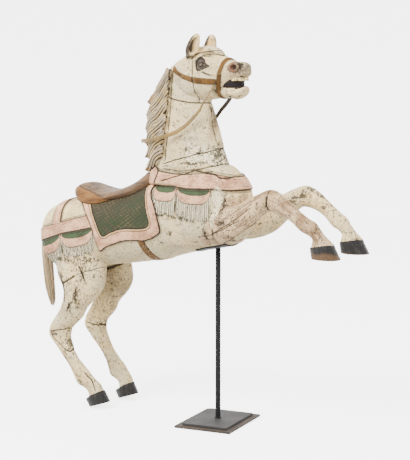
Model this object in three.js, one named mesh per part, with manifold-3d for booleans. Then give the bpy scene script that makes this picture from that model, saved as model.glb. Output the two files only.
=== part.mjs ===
// A carved and painted wooden carousel horse on its steel stand, in millimetres, +Z up.
// The origin is the foot of the rod on the floor. +X is the way the horse looks and +Y is its left.
// The horse is laid out in carver's units, of which it is 1500 high, so it scales by its own height.
import * as THREE from "three";
import { ParametricGeometry } from "three/addons/geometries/ParametricGeometry.js";
import { mergeVertices } from "three/addons/utils/BufferGeometryUtils.js";
import Module from "manifold-3d";

const HORSE_HEIGHT = 1500; // floor to ear tips
const LOWER_PLATE_LENGTH = 232; // along the horse
const LOWER_PLATE_WIDTH = 304; // across the horse
const LOWER_PLATE_THICKNESS = 8;
const UPPER_PLATE_MARGIN = 23; // how far the upper plate stays back from the lower one's edge
const UPPER_PLATE_THICKNESS = 8;
const BASE_TURN_DEG = 11; // the two plates are turned a little against the horse
const ROD_DIAMETER = 20;
const CRADLE_THICKNESS = 5;
const CRADLE_WIDTH = 100;
const CRADLE_BACK = -72; // the cradle's ends, along the horse from the rod
const CRADLE_FRONT = 70;
const FIT_GAP = 0.3; // between pieces that touch

const UNIT = HORSE_HEIGHT / 1500;

const { lerp } = THREE.MathUtils;

const wasm = await Module();
wasm.setup();

// Makes a manifold solid of a closed three.js geometry, with its faces turned out.
function solid(geometry) {
  const bare = geometry.clone();
  for (const name of Object.keys(bare.attributes)) {
    if (name !== "position") bare.deleteAttribute(name);
  }
  const merged = mergeVertices(bare, 1e-3);
  const vertProperties = new Float32Array(merged.attributes.position.array);
  const faces = [];
  for (let i = 0; i < merged.index.count; i += 3) {
    const [a, b, c] = [0, 1, 2].map((corner) => merged.index.getX(i + corner));
    if (a !== b && b !== c && c !== a) faces.push(a, b, c);
  }
  const make = (list) =>
    new wasm.Manifold(new wasm.Mesh({ numProp: 3, vertProperties, triVerts: new Uint32Array(list) }));
  const made = make(faces);
  if (made.volume() > 0) return made;
  for (let i = 0; i < faces.length; i += 3) [faces[i], faces[i + 1]] = [faces[i + 1], faces[i]];
  return make(faces);
}

const join = (solids) => solids.reduce((all, next) => all.add(next));

// The body's tables. Each ring is spanned by two points of the side outline, and is an ellipse,
// or squarer, between them: [x, z of its lower or back point, x, z of its upper or front point,
// half width, offset in y].

// From the rump to the breast, each ring upright.
const TRUNK = [
  [-866, 688, -866, 722, 18],
  [-857, 650, -857, 752, 54],
  [-833, 604, -833, 786, 90],
  [-790, 562, -790, 814, 122],
  [-715, 552, -715, 840, 134],
  [-620, 564, -620, 855, 138],
  [-500, 582, -500, 862, 138],
  [-380, 600, -380, 880, 136],
  [-260, 621, -270, 925, 132],
  [-150, 650, -165, 965, 128],
  [-50, 677, -70, 1000, 122],
  [40, 695, 25, 1008, 110],
  [100, 712, 85, 975, 88],
  [130, 756, 122, 935, 58],
  [142, 815, 139, 895, 24],
];

// From inside the trunk up into the head.
const NECK = [
  [-310, 930, 85, 930, 114],
  [-305, 1000, 50, 1000, 102],
  [-302, 1050, 29, 1045, 92],
  [-300, 1100, 16, 1090, 84],
  [-296, 1150, 2, 1138, 77],
  [-286, 1200, -14, 1185, 71],
  [-272, 1250, -33, 1235, 66],
  [-250, 1300, -46, 1290, 60],
  [-222, 1345, -60, 1340, 48],
];

const HEAD = [
  [-214, 1338, -214, 1362, 16],
  [-197, 1290, -197, 1386, 44],
  [-155, 1262, -160, 1408, 60],
  [-110, 1250, -112, 1431, 66],
  [-60, 1248, -60, 1446, 69],
  [-20, 1252, -18, 1440, 66],
  [20, 1262, 22, 1420, 56],
  [45, 1290, 47, 1408, 50],
  [62, 1312, 62, 1400, 46],
  [92, 1324, 94, 1393, 44],
  [115, 1330, 117, 1392, 41],
  [130, 1335, 131, 1382, 32],
  [138, 1347, 139, 1365, 14],
];

const JAW = [
  [-30, 1250, -30, 1300, 40],
  [20, 1256, 20, 1308, 44],
  [59, 1258, 59, 1300, 40],
  [91, 1252, 91, 1297, 36],
  [113, 1260, 113, 1300, 32],
  [127, 1272, 127, 1302, 24],
  [134, 1286, 134, 1298, 9],
];

// The closed back of the open mouth, between the head and the jaw and inside the lips.
const MOUTH_WALL = [
  [30, 1290, 30, 1325, 36],
  [60, 1290, 60, 1325, 33],
  [90, 1290, 90, 1335, 28],
  [108, 1290, 108, 1338, 18],
  [114, 1290, 114, 1338, 9],
];

const EAR = [
  [-110, 1405, -54, 1425, 20, 52],
  [-110, 1438, -52, 1450, 23, 55],
  [-100, 1466, -50, 1474, 19, 54],
  [-86, 1488, -53, 1491, 12, 50],
  [-70, 1499, -62, 1500, 4, 47],
];

const EAR_HOLLOW = [
  [-88, 1424, -40, 1436, 10, 66],
  [-88, 1445, -38, 1452, 11, 68],
  [-80, 1468, -40, 1472, 9, 65],
  [-70, 1486, -50, 1487, 4, 58],
];

const FORELOCK = [
  [-95, 1425, -95, 1444, 22],
  [-60, 1436, -60, 1453, 32],
  [-15, 1428, -15, 1449, 28],
  [14, 1414, 16, 1432, 19],
  [27, 1406, 29, 1415, 6],
];

const MANE = [
  [-214, 1374, -162, 1396, 22],
  [-240, 1342, -172, 1368, 46],
  [-286, 1290, -172, 1312, 62],
  [-316, 1232, -178, 1258, 72],
  [-328, 1170, -180, 1200, 80],
  [-328, 1110, -181, 1142, 86],
  [-321, 1058, -183, 1088, 92],
  [-308, 1014, -186, 1036, 96],
  [-284, 984, -205, 996, 82],
];

const SADDLE = [
  [-682, 868, -683, 888, 24],
  [-668, 846, -669, 903, 68],
  [-634, 822, -638, 911, 96],
  [-588, 806, -592, 900, 106],
  [-528, 810, -528, 889, 108],
  [-457, 846, -457, 894, 105],
  [-399, 858, -399, 911, 99],
  [-345, 872, -345, 938, 92],
  [-300, 896, -302, 970, 82],
  [-262, 918, -266, 990, 66],
  [-240, 930, -244, 985, 40],
];

const FRONT_LEG = [
  [0, 716, -30, 850, 34, 56],
  [92, 716, 66, 850, 44, 80],
  [182, 745, 156, 866, 42, 98],
  [250, 806, 236, 901, 38, 111],
  [300, 846, 288, 924, 34, 117],
  [326, 850, 328, 931, 33, 119],
  [356, 844, 374, 909, 31, 120],
  [400, 824, 434, 864, 25, 118],
  [432, 796, 471, 838, 25, 114],
  [450, 783, 502, 820, 28, 110],
  [472, 775, 518, 795, 26, 107],
  [489, 760, 540, 770, 26, 105],
  [485, 738, 566, 749, 32, 104],
  [490, 712, 570, 728, 33, 104],
];

const FRONT_HOOF = [
  [481, 730, 567, 746, 38, 104],
  [488, 693, 597, 692, 45, 104],
];

const HIND_LEG = [
  [-790, 665, -500, 665, 58, 66],
  [-742, 535, -502, 538, 60, 86],
  [-712, 491, -507, 495, 54, 93],
  [-701, 450, -535, 453, 48, 98],
  [-714, 400, -586, 404, 41, 102],
  [-738, 364, -606, 366, 37, 105],
  [-770, 317, -652, 322, 32, 110],
  [-776, 288, -662, 296, 29, 112],
  [-760, 262, -662, 270, 26, 113],
  [-696, 196, -632, 205, 23, 113],
  [-664, 157, -598, 168, 24, 111],
  [-645, 124, -562, 136, 27, 108],
  [-627, 88, -537, 112, 27, 103],
  [-586, 71, -520, 96, 25, 99],
  [-571, 48, -510, 76, 29, 96],
  [-582, 24, -506, 56, 31, 94],
];

const HIND_HOOF = [
  [-588, 28, -506, 72, 35, 94],
  [-567, 0, -482, 27, 41, 92],
];

// Harness and cloth stand proud of the body they lie on, by these heights.
const BLANKET_RISE = 6;
const BAND_RISE = 6;
const SCALLOP_RISE = 4;
const FRINGE_RISE = 3;
const BRIDLE_RISE = 4;

const BLANKET = [
  [-238, 1000], [-240, 902], [-208, 847], [-189, 791], [-180, 749], [-201, 728], [-249, 707],
  [-298, 703], [-355, 698], [-406, 683], [-449, 667], [-487, 648], [-500, 692], [-526, 751],
  [-562, 794], [-605, 830], [-660, 862], [-660, 1000],
];
const BREAST_BAND = [
  [-232, 918], [-184, 922], [-128, 919], [-63, 914], [-7, 915], [49, 917], [103, 912], [200, 914],
  [200, 958], [90, 961], [38, 973], [-3, 973], [-59, 969], [-115, 969], [-177, 974], [-232, 981],
];
const RUMP_BAND = [
  [-510, 742], [-610, 721], [-679, 707], [-769, 679], [-920, 636], [-920, 694], [-771, 731],
  [-696, 750], [-631, 767], [-568, 782], [-546, 789],
];
const RUMP_STRAP = [[-688, 746], [-712, 880], [-752, 880], [-736, 736]];
const GIRTH = [[-298, 712], [-266, 712], [-240, 650], [-228, 560], [-262, 560], [-276, 645]];
const CHEEK_BAND = [
  [-168, 1376], [-134, 1353], [-84, 1337], [-50, 1334], [-25, 1332], [36, 1325], [36, 1309],
  [-25, 1309], [-50, 1312], [-84, 1322], [-134, 1338], [-176, 1362],
];
const NOSEBAND = [[27, 1240], [46, 1240], [39, 1300], [46, 1325], [50, 1354], [58, 1380], [68, 1415],
  [50, 1415], [42, 1384], [34, 1356], [29, 1321], [24, 1300]];

// Scallops hang from a band: where along the horse each begins and ends, the height it hangs from
// at either end, how deep it is and how far the fringe below it reaches.
const SCALLOPS = [
  { from: -232, to: -111, high: [920, 918], deep: 54, fringe: 56 },
  { from: -107, to: 40, high: [917, 914], deep: 55, fringe: 66 },
  { from: -850, to: -688, high: [656, 703], deep: 62, fringe: 50 },
  { from: -684, to: -514, high: [704, 740], deep: 60, fringe: 42 },
];
const SCALLOP_ROOT = 12; // how far a scallop reaches up under its band
const SCALLOP_STEPS = 6;
const SCALLOP_FULLNESS = 4; // 2 hangs as a half ellipse, more hangs squarer
const FRINGE_STROKES = 4;
const FRINGE_ROOT = 14; // how far a stroke reaches up under its scallop
const FRINGE_STROKE_SHARE = 0.72; // a stroke's width as a share of the pitch
const FRINGE_FOLLOW = 0.55; // how far the fringe's lower edge follows the scallop's curve

// Mane: locks run from the mane's front edge back and down to tips at its back.
const LOCKS = 6;
const LOCK_STARTS = [[-182, 1368], [-196, 1075]]; // the first and the last
const LOCK_TIPS = [[-316, 1236], [-300, 974]];
const LOCK_BULGE = 6; // how far the middle tips reach behind the line from first to last
const LOCK_SIDES = [[62, 16], [95, 52]]; // how far out each start and tip lies, first and last
const LOCK_HALF = 20; // half a lock's width and half its thickness, at its fullest
const LOCK_THICK = 13;
const LOCK_SWEEP = 22; // how far a lock first runs back before it hangs
const LOCK_BEND = 0.55; // where on its way down it does so
const LOCK_RELIEF = [4, 10, 12]; // how far its root, middle and tip stand off the mane
const LOCK_RINGS = [0, 0.25, 0.55, 0.85, 1];
const LOCK_ROOT_WIDTH = 0.2; // as a share of the fullest width

const EYE = { at: [-36, 60, 1381], half: [17, 9, 15] };
const NOSTRIL = { at: [100, 45, 1371], half: [15, 13, 11] };
const NOSTRIL_RIM = { at: [98, 36, 1372], half: [25, 14, 19] };
const TEETH = 11;
const TEETH_ARC = { x: 84, z: 1331, long: 46, wide: 32 };
const TOOTH = [8, 10, 17]; // from front to back, across and in height

// Tail: a bundle of real horsehair that hangs from a socket in the rump.
const TAIL = [
  [-880, 706, -850, 722, 9],
  [-904, 676, -870, 696, 17],
  [-912, 620, -873, 628, 22],
  [-907, 540, -864, 542, 23],
  [-896, 450, -853, 450, 19],
  [-880, 395, -849, 395, 12],
  [-868, 370, -858, 370, 4],
];

// Reins: one strap from the right corner of the mouth round the mane to the left one.
const REIN_SOLID_DIAMETER = 9; // the strap's plain round stand-in
const REIN_NAIL_DIAMETER = 10;
const REIN_NAIL_AT = [30, 54, 1313];
const REIN_NAIL_REACH = 9; // how far a nail's head stands out to the side of its middle
const REIN_NAIL_CHAMFER = 1.75;
const REIN_NAIL_SIDES = 12;
const REIN_STEPS = 34;
const REIN_ARC_SIDES = 3; // to half a turn, so the solid has 6 sides
const REIN_POINTS = [
  [22, -60, 1302], [8, -60, 1284], [-11, -60, 1257], [-27, -61, 1237], [-44, -64, 1208],
  [-66, -71, 1182], [-90, -80, 1157], [-121, -90, 1134], [-152, -101, 1119], [-182, -112, 1109],
  [-216, -114, 1101], [-258, -104, 1094], [-300, -82, 1090], [-333, -50, 1088], [-347, 0, 1087],
  [-333, 50, 1088], [-300, 82, 1090], [-258, 104, 1094], [-220, 114, 1101], [-186, 113, 1109],
  [-154, 106, 1121], [-121, 98, 1140], [-90, 92, 1165], [-66, 86, 1188], [-44, 81, 1210],
  [-18, 76, 1232], [5, 72, 1256], [20, 66, 1282], [23, 61, 1301],
];

// Stand: two plates, one on the other, a round rod and a steel cradle bent to the belly.
const UPPER_PLATE_FLOOR = LOWER_PLATE_THICKNESS + FIT_GAP;
const ROD_FLOOR = UPPER_PLATE_FLOOR + UPPER_PLATE_THICKNESS + FIT_GAP;
const BELLY_ZONE = [600, 900]; // heights between which the cradle's strip takes the belly's form
const ROD_SIDES = 24;

const mirrored = (stations) => stations.map(([a, b, c, d, wide, y]) => [a, b, c, d, wide, -y]);

// A closed skin over a table's rings, with this many sides and rows. The exponent called square
// is 2 for an ellipse and more for a fuller section, pinch narrows the section towards its high
// point and pinchBack towards its low one, and grow lifts the whole skin off the wood.
function skin(stations, { sides = 16, rows = 12, square = 2, pinch = 0, pinchBack = 0, grow = 0 } = {}) {
  const curve = (pick) =>
    new THREE.CatmullRomCurve3(stations.map((s) => new THREE.Vector3(...pick(s)).multiplyScalar(UNIT)),
      false, "catmullrom", 0.5);
  const low = curve(([x, z]) => [x, 0, z]);
  const high = curve(([, , x, z]) => [x, 0, z]);
  const size = curve(([, , , , wide, y = 0]) => [wide, y, 0]);
  const power = (value) => Math.sign(value) * Math.abs(value) ** (2 / square);
  const middleOf = (t) => low.getPoint(t).add(high.getPoint(t)).multiplyScalar(0.5);
  const along = middleOf(1).sub(middleOf(0));
  const middle = middleOf(0).addScaledVector(along, 0.5);
  const stretch = (grow * UNIT) / (along.length() / 2);
  along.normalize();
  const steps = rows + 2;
  const geometry = new ParametricGeometry((u, v, target) => {
    const row = Math.round(v * steps);
    const t = THREE.MathUtils.clamp((row - 1) / rows, 0, 1);
    const closed = row === 0 || row === steps;
    const [a, b, s] = [low.getPoint(t), high.getPoint(t), size.getPoint(t)];
    const half = b.clone().sub(a).multiplyScalar(0.5);
    const angle = 2 * Math.PI * (Math.round(u * sides) % sides) / sides;
    const up = closed ? 0 : power(Math.sin(angle));
    const narrow = 1 - (up > 0 ? pinch : pinchBack) * Math.abs(up);
    const out = closed ? 0 : power(Math.cos(angle)) * narrow;
    target.copy(a).add(half).addScaledVector(half, up * (1 + (grow * UNIT) / half.length()));
    target.addScaledVector(along, target.clone().sub(middle).dot(along) * stretch);
    target.y += s.y + (s.x + grow * UNIT) * out;
  }, sides, steps);
  return solid(geometry);
}

const limb = (stations, options) => [
  skin(stations, options),
  skin(mirrored(stations), options),
];

// A block with this side outline, right across the horse and wider than it.
function block(outline) {
  const depth = HORSE_HEIGHT / 3;
  const shape = new THREE.Shape(outline.map(([x, z]) => new THREE.Vector2(x * UNIT, z * UNIT)));
  const geometry = new THREE.ExtrudeGeometry(shape, { depth, bevelEnabled: false });
  geometry.translate(0, 0, -depth / 2);
  geometry.rotateX(Math.PI / 2);
  return solid(geometry);
}

const trunk = (grow = 0) => skin(TRUNK, { sides: 18, rows: 12, square: 2.5, grow });
const head = (grow = 0) => skin(HEAD, { sides: 14, rows: 9, square: 2.4, grow });
const jaw = (grow = 0) => skin(JAW, { sides: 10, rows: 5, square: 2.2, grow });

// How far a scallop hangs down at t, from 0 at its back end to 1 at its front end.
const scallopDrop = (deep, t) => deep * Math.sqrt(Math.max(0, 1 - Math.abs(2 * t - 1) ** SCALLOP_FULLNESS));

function scallopOutline({ from, to, high, deep }) {
  const points = [];
  for (let i = 0; i <= SCALLOP_STEPS; i++) {
    const t = i / SCALLOP_STEPS;
    points.push([lerp(from, to, t), lerp(high[0], high[1], t) - scallopDrop(deep, t)]);
  }
  points.push([to, high[1] + SCALLOP_ROOT], [from, high[0] + SCALLOP_ROOT]);
  return points;
}

function fringeStrokes({ from, to, high, deep, fringe }) {
  const half = (FRINGE_STROKE_SHARE / 2) * ((to - from) / FRINGE_STROKES);
  const strokes = [];
  for (let i = 0; i < FRINGE_STROKES; i++) {
    const t = (i + 0.5) / FRINGE_STROKES;
    const x = lerp(from, to, t);
    const hang = lerp(high[0], high[1], t);
    const drop = scallopDrop(deep, t);
    const top = hang - drop + FRINGE_ROOT;
    const low = hang - lerp(deep, drop, FRINGE_FOLLOW) - fringe;
    strokes.push(block([[x - half, low], [x + half, low], [x + half, top], [x - half, top]]));
  }
  return strokes;
}

function carveHarness() {
  const band = join([BREAST_BAND, RUMP_BAND, RUMP_STRAP, GIRTH].map((outline) => block(outline)));
  const scallops = join(SCALLOPS.map((scallop) => block(scallopOutline(scallop))));
  const fringe = join(SCALLOPS.flatMap(fringeStrokes));
  const bridle = join([block(CHEEK_BAND), block(NOSEBAND)]);
  return join([
    block(BLANKET).intersect(trunk(BLANKET_RISE)),
    band.intersect(trunk(BAND_RISE)),
    scallops.intersect(trunk(SCALLOP_RISE)),
    fringe.intersect(trunk(FRINGE_RISE)),
    bridle.intersect(head(BRIDLE_RISE).add(jaw(BRIDLE_RISE))),
  ]);
}

// One lock's table: it lies at this share of the way from the first lock to the last one.
function lockStations(share, side) {
  const mix = ([first, last]) => first.map((value, i) => lerp(value, last[i], share));
  const [startX, startZ] = mix(LOCK_STARTS);
  const [tipX, tipZ] = mix(LOCK_TIPS);
  const [out, back] = mix(LOCK_SIDES);
  const [root, middle, tip] = LOCK_RELIEF;
  const path = new THREE.QuadraticBezierCurve3(
    new THREE.Vector3(startX, out + root, startZ),
    new THREE.Vector3(startX - LOCK_SWEEP, out + middle, lerp(startZ, tipZ, LOCK_BEND)),
    new THREE.Vector3(tipX - LOCK_BULGE * Math.sin(Math.PI * share), back + tip, tipZ));
  return LOCK_RINGS.map((t) => {
    const at = path.getPoint(t);
    const run = path.getTangent(t).setY(0).normalize();
    const fullness = lerp(LOCK_ROOT_WIDTH, 1, Math.sin(Math.PI * lerp(0.12, 0.98, t)) ** 0.7);
    const half = LOCK_HALF * fullness;
    return [at.x + run.z * half, at.z - run.x * half, at.x - run.z * half, at.z + run.x * half,
      LOCK_THICK * fullness, side * at.y];
  });
}

function carveMane() {
  const locks = [];
  for (let i = 0; i < LOCKS; i++) {
    for (const side of [-1, 1]) {
      locks.push(skin(lockStations(i / (LOCKS - 1), side), { sides: 5, rows: 4 }));
    }
  }
  return join([skin(MANE, { sides: 10, rows: 6, square: 2.2, pinchBack: 0.25 }), ...locks]);
}

// A ball stretched to half sizes along x, y and z.
function ball([x, y, z], [a, b, c]) {
  const geometry = new THREE.SphereGeometry(1, 8, 6);
  geometry.scale(a * UNIT, b * UNIT, c * UNIT);
  geometry.translate(x * UNIT, y * UNIT, z * UNIT);
  return solid(geometry);
}

function carveTeeth() {
  const teeth = [];
  for (let i = 0; i < TEETH; i++) {
    const angle = Math.PI * ((i + 0.5) / TEETH - 0.5);
    const geometry = new THREE.BoxGeometry(...TOOTH.map((size) => size * UNIT));
    geometry.rotateZ(angle);
    geometry.translate((TEETH_ARC.x + TEETH_ARC.long * Math.cos(angle)) * UNIT,
      TEETH_ARC.wide * Math.sin(angle) * UNIT, TEETH_ARC.z * UNIT);
    teeth.push(solid(geometry));
  }
  return join(teeth);
}

const pair = ({ at: [x, y, z], half }) => join([ball([x, -y, z], half), ball([x, y, z], half)]);

function carveHorse() {
  const ears = join(limb(EAR, { sides: 8, rows: 5 }))
    .subtract(join(limb(EAR_HOLLOW, { sides: 6, rows: 3 })));
  const face = join([head(), jaw(), pair(EYE), pair(NOSTRIL_RIM)]).subtract(pair(NOSTRIL));
  return join([
    trunk(),
    skin(NECK, { sides: 14, rows: 6, square: 2.2, pinch: 0.35 }),
    face,
    skin(MOUTH_WALL, { sides: 6, rows: 2, square: 3 }),
    carveTeeth(),
    skin(FORELOCK, { sides: 8, rows: 4 }),
    carveMane(),
    skin(SADDLE, { sides: 14, rows: 8, square: 2.2 }),
    carveHarness(),
    ears,
    ...limb(FRONT_LEG, { sides: 8, rows: 13 }),
    ...limb(FRONT_HOOF, { sides: 12, rows: 1 }),
    ...limb(HIND_LEG, { sides: 8, rows: 15 }),
    ...limb(HIND_HOOF, { sides: 12, rows: 1 }),
  ]);
}

// Cuts a piece clear of a neighbour that is first moved by the gap in this direction.
function clearOf(made, neighbour, [x, y, z]) {
  return made.subtract(neighbour.translate([x * FIT_GAP, y * FIT_GAP, z * FIT_GAP]));
}

function cutTail(horse) {
  return clearOf(skin(TAIL, { sides: 8, rows: 6 }), horse, [-1, 0, 0]);
}

function bendRein() {
  const path = new THREE.CatmullRomCurve3(
    REIN_POINTS.map((point) => new THREE.Vector3(...point).multiplyScalar(UNIT)));
  const round = new THREE.Shape();
  round.absarc(0, 0, (REIN_SOLID_DIAMETER * UNIT) / 2, 0, 2 * Math.PI);
  return solid(new THREE.ExtrudeGeometry(round,
    { steps: REIN_STEPS, extrudePath: path, bevelEnabled: false, curveSegments: REIN_ARC_SIDES }));
}

function turnNail(side, horse) {
  const [x, y, z] = REIN_NAIL_AT;
  const radius = REIN_NAIL_DIAMETER / 2;
  const profile = [[0, -2 * radius], [radius, -2 * radius], [radius, REIN_NAIL_REACH - REIN_NAIL_CHAMFER],
    [radius - REIN_NAIL_CHAMFER, REIN_NAIL_REACH], [0, REIN_NAIL_REACH]];
  const geometry = new THREE.LatheGeometry(
    profile.map(([r, height]) => new THREE.Vector2(r * UNIT, height * UNIT)), REIN_NAIL_SIDES);
  geometry.rotateX(side > 0 ? 0 : Math.PI);
  geometry.translate(x * UNIT, side * y * UNIT, z * UNIT);
  return clearOf(solid(geometry), horse, [0, side, 0]);
}

// The cradle is the belly's own curve, one plate thickness lower.
function bendCradle(horse) {
  const [low, high] = BELLY_ZONE.map((height) => height * UNIT);
  const strip = new THREE.BoxGeometry(CRADLE_FRONT - CRADLE_BACK, CRADLE_WIDTH, high - low);
  strip.translate((CRADLE_FRONT + CRADLE_BACK) / 2, 0, (high + low) / 2);
  const bent = solid(strip).intersect(trunk(CRADLE_THICKNESS / UNIT).translate([0, 0, -FIT_GAP]));
  return clearOf(bent, trunk(), [0, 0, -1]).subtract(horse);
}

function rodOf(top) {
  const radius = ROD_DIAMETER / 2;
  const geometry = new THREE.CylinderGeometry(radius, radius, top - ROD_FLOOR, ROD_SIDES);
  geometry.rotateX(Math.PI / 2);
  geometry.translate(0, 0, (top + ROD_FLOOR) / 2);
  return solid(geometry);
}

// The rod is cut off along the cradle's underside, and the offcut above it falls away.
function cutRod(cradle) {
  const reach = rodOf(HORSE_HEIGHT).intersect(cradle).boundingBox().max[2];
  const cut = clearOf(rodOf(reach), cradle, [0, 0, -1]).decompose();
  return cut.sort((one, other) => other.volume() - one.volume())[0];
}

function plate(name, length, width, thickness, floor, color) {
  const mesh = new THREE.Mesh(new THREE.BoxGeometry(length, width, thickness),
    new THREE.MeshStandardMaterial({ color, roughness: 0.55, metalness: 0.8 }));
  mesh.name = name;
  mesh.position.z = floor + thickness / 2;
  return mesh;
}

// Makes a mesh of a solid, in a plain material of its colour.
function meshOf(name, made, color, roughness, metalness) {
  const { vertProperties, triVerts } = made.getMesh();
  const geometry = new THREE.BufferGeometry();
  geometry.setAttribute("position", new THREE.BufferAttribute(vertProperties, 3));
  geometry.setIndex(new THREE.BufferAttribute(triVerts, 1));
  geometry.computeVertexNormals();
  const mesh = new THREE.Mesh(geometry, new THREE.MeshStandardMaterial({ color, roughness, metalness }));
  mesh.name = name;
  return mesh;
}

const horse = carveHorse();
const cradle = bendCradle(horse);

const base = new THREE.Group();
base.rotation.z = THREE.MathUtils.degToRad(BASE_TURN_DEG);
base.add(
  plate("lower_base_plate", LOWER_PLATE_LENGTH, LOWER_PLATE_WIDTH, LOWER_PLATE_THICKNESS, 0, 0x5a4a3f),
  plate("upper_base_plate", LOWER_PLATE_LENGTH - 2 * UPPER_PLATE_MARGIN,
    LOWER_PLATE_WIDTH - 2 * UPPER_PLATE_MARGIN, UPPER_PLATE_THICKNESS, UPPER_PLATE_FLOOR, 0x3b3b3d),
);

const part = new THREE.Group();
part.add(
  base,
  meshOf("horse", horse, 0xd9cdb8, 0.6, 0),
  meshOf("horsehair_tail", cutTail(horse), 0xa79a86, 0.8, 0),
  meshOf("reins", bendRein(), 0xb98a5a, 0.6, 0),
  meshOf("rein_nail_right", turnNail(-1, horse), 0x3a332d, 0.5, 0.8),
  meshOf("rein_nail_left", turnNail(1, horse), 0x3a332d, 0.5, 0.8),
  meshOf("cradle", cradle, 0x1f1f20, 0.5, 0.7),
  meshOf("rod", cutRod(cradle), 0x2a2a2b, 0.5, 0.7),
);

export default part;
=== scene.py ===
"""The looks of a carved and painted carousel horse and its steel stand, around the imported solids.

Tables and outlines are in the carver's millimetres and are turned into metres where a mesh is made.
"""
import math

import bpy
import numpy as np
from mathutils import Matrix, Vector
from mathutils.bvhtree import BVHTree


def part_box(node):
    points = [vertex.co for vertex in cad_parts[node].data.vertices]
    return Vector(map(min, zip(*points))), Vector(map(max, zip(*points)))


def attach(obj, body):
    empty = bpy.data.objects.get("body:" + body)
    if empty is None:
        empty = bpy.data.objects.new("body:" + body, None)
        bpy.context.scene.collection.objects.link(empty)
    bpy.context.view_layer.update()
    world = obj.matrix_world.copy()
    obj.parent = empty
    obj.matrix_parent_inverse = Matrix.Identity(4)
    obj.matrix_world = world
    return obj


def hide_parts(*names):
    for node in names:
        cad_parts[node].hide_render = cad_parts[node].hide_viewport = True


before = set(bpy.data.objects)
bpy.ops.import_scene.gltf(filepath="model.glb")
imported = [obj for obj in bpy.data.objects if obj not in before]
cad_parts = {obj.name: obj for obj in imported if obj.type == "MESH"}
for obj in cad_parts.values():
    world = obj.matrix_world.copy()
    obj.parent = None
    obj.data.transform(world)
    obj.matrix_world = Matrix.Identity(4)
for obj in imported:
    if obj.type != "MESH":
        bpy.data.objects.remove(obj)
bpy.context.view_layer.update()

MM = 0.001
ROOT = "root"

# The camera stands where the photograph's did.
CAMERA_AT = (2.8981, -4.0748, 1.3077)
CAMERA_TURN_DEG = (83.669, 0, 36)
PHOTO_HEIGHT = 460
PHOTO_FOCAL = 1311
SENSOR = 36

VOXEL = 3.0
MOST_TRIANGLES = 194000

# The body's tables. Each ring is spanned by two points of the side outline:
# [x, z of its lower or back point, x, z of its upper or front point, half width, offset in y].
TRUNK = [
    [-866, 688, -866, 722, 18], [-857, 650, -857, 752, 54], [-833, 604, -833, 786, 90],
    [-790, 562, -790, 814, 122], [-715, 552, -715, 840, 134], [-620, 564, -620, 855, 138],
    [-500, 582, -500, 862, 138], [-380, 600, -380, 880, 136], [-260, 621, -270, 925, 132],
    [-150, 650, -165, 965, 128], [-50, 677, -70, 1000, 122], [40, 695, 25, 1008, 110],
    [100, 712, 85, 975, 88], [130, 756, 122, 935, 58], [142, 815, 139, 895, 24],
]
NECK = [
    [-310, 930, 85, 930, 114], [-305, 1000, 50, 1000, 102], [-302, 1050, 29, 1045, 92],
    [-300, 1100, 16, 1090, 84], [-296, 1150, 2, 1138, 77], [-286, 1200, -14, 1185, 71],
    [-272, 1250, -33, 1235, 66], [-250, 1300, -46, 1290, 60], [-222, 1345, -60, 1340, 48],
]
HEAD = [
    [-214, 1338, -214, 1362, 16], [-197, 1290, -197, 1386, 44], [-155, 1262, -160, 1408, 60],
    [-110, 1250, -112, 1431, 66], [-60, 1248, -60, 1446, 69], [-20, 1252, -18, 1440, 66],
    [20, 1262, 22, 1420, 56], [45, 1290, 47, 1408, 50], [62, 1312, 62, 1400, 46],
    [92, 1324, 94, 1393, 44], [115, 1330, 117, 1392, 41], [130, 1335, 131, 1382, 32],
    [138, 1347, 139, 1365, 14],
]
JAW = [
    [-30, 1250, -30, 1300, 40], [20, 1256, 20, 1308, 44], [59, 1258, 59, 1300, 40],
    [91, 1252, 91, 1297, 36], [113, 1260, 113, 1300, 32], [127, 1272, 127, 1302, 24],
    [134, 1286, 134, 1298, 9],
]
# A wall at the back of the open mouth, painted black: black paint, and painted shade of the recess.
MOUTH_WALL = [
    [30, 1290, 30, 1325, 36], [60, 1290, 60, 1325, 33], [90, 1290, 90, 1335, 28],
    [108, 1290, 108, 1338, 18], [114, 1290, 114, 1338, 9],
]
EAR = [
    [-110, 1405, -54, 1425, 20, 52], [-110, 1438, -52, 1450, 23, 55], [-100, 1466, -50, 1474, 19, 54],
    [-86, 1488, -53, 1491, 12, 50], [-70, 1499, -62, 1500, 4, 47],
]
FORELOCK = [
    [-95, 1425, -95, 1444, 22], [-60, 1436, -60, 1453, 32], [-15, 1428, -15, 1449, 28],
    [14, 1414, 16, 1432, 19], [27, 1406, 29, 1415, 6],
]
MANE = [
    [-214, 1374, -162, 1396, 22], [-240, 1342, -172, 1368, 46], [-286, 1290, -172, 1312, 62],
    [-316, 1232, -178, 1258, 72], [-328, 1170, -180, 1200, 80], [-328, 1110, -181, 1142, 86],
    [-321, 1058, -183, 1088, 92], [-308, 1014, -186, 1036, 96], [-284, 984, -205, 996, 82],
]
SADDLE = [
    [-682, 868, -683, 888, 24], [-668, 846, -669, 903, 68], [-634, 822, -638, 911, 96],
    [-588, 806, -592, 900, 106], [-528, 810, -528, 889, 108], [-457, 846, -457, 894, 105],
    [-399, 858, -399, 911, 99], [-345, 872, -345, 938, 92], [-300, 896, -302, 970, 82],
    [-262, 918, -266, 990, 66], [-240, 930, -244, 985, 40],
]
FRONT_LEG = [
    [0, 716, -30, 850, 34, 56], [92, 716, 66, 850, 44, 80], [182, 745, 156, 866, 42, 98],
    [250, 806, 236, 901, 38, 111], [300, 846, 288, 924, 34, 117], [326, 850, 328, 931, 33, 119],
    [356, 844, 374, 909, 31, 120], [400, 824, 434, 864, 25, 118], [432, 796, 471, 838, 25, 114],
    [450, 783, 502, 820, 28, 110], [472, 775, 518, 795, 26, 107], [489, 760, 540, 770, 26, 105],
    [485, 738, 566, 749, 32, 104], [490, 712, 570, 728, 33, 104],
]
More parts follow.
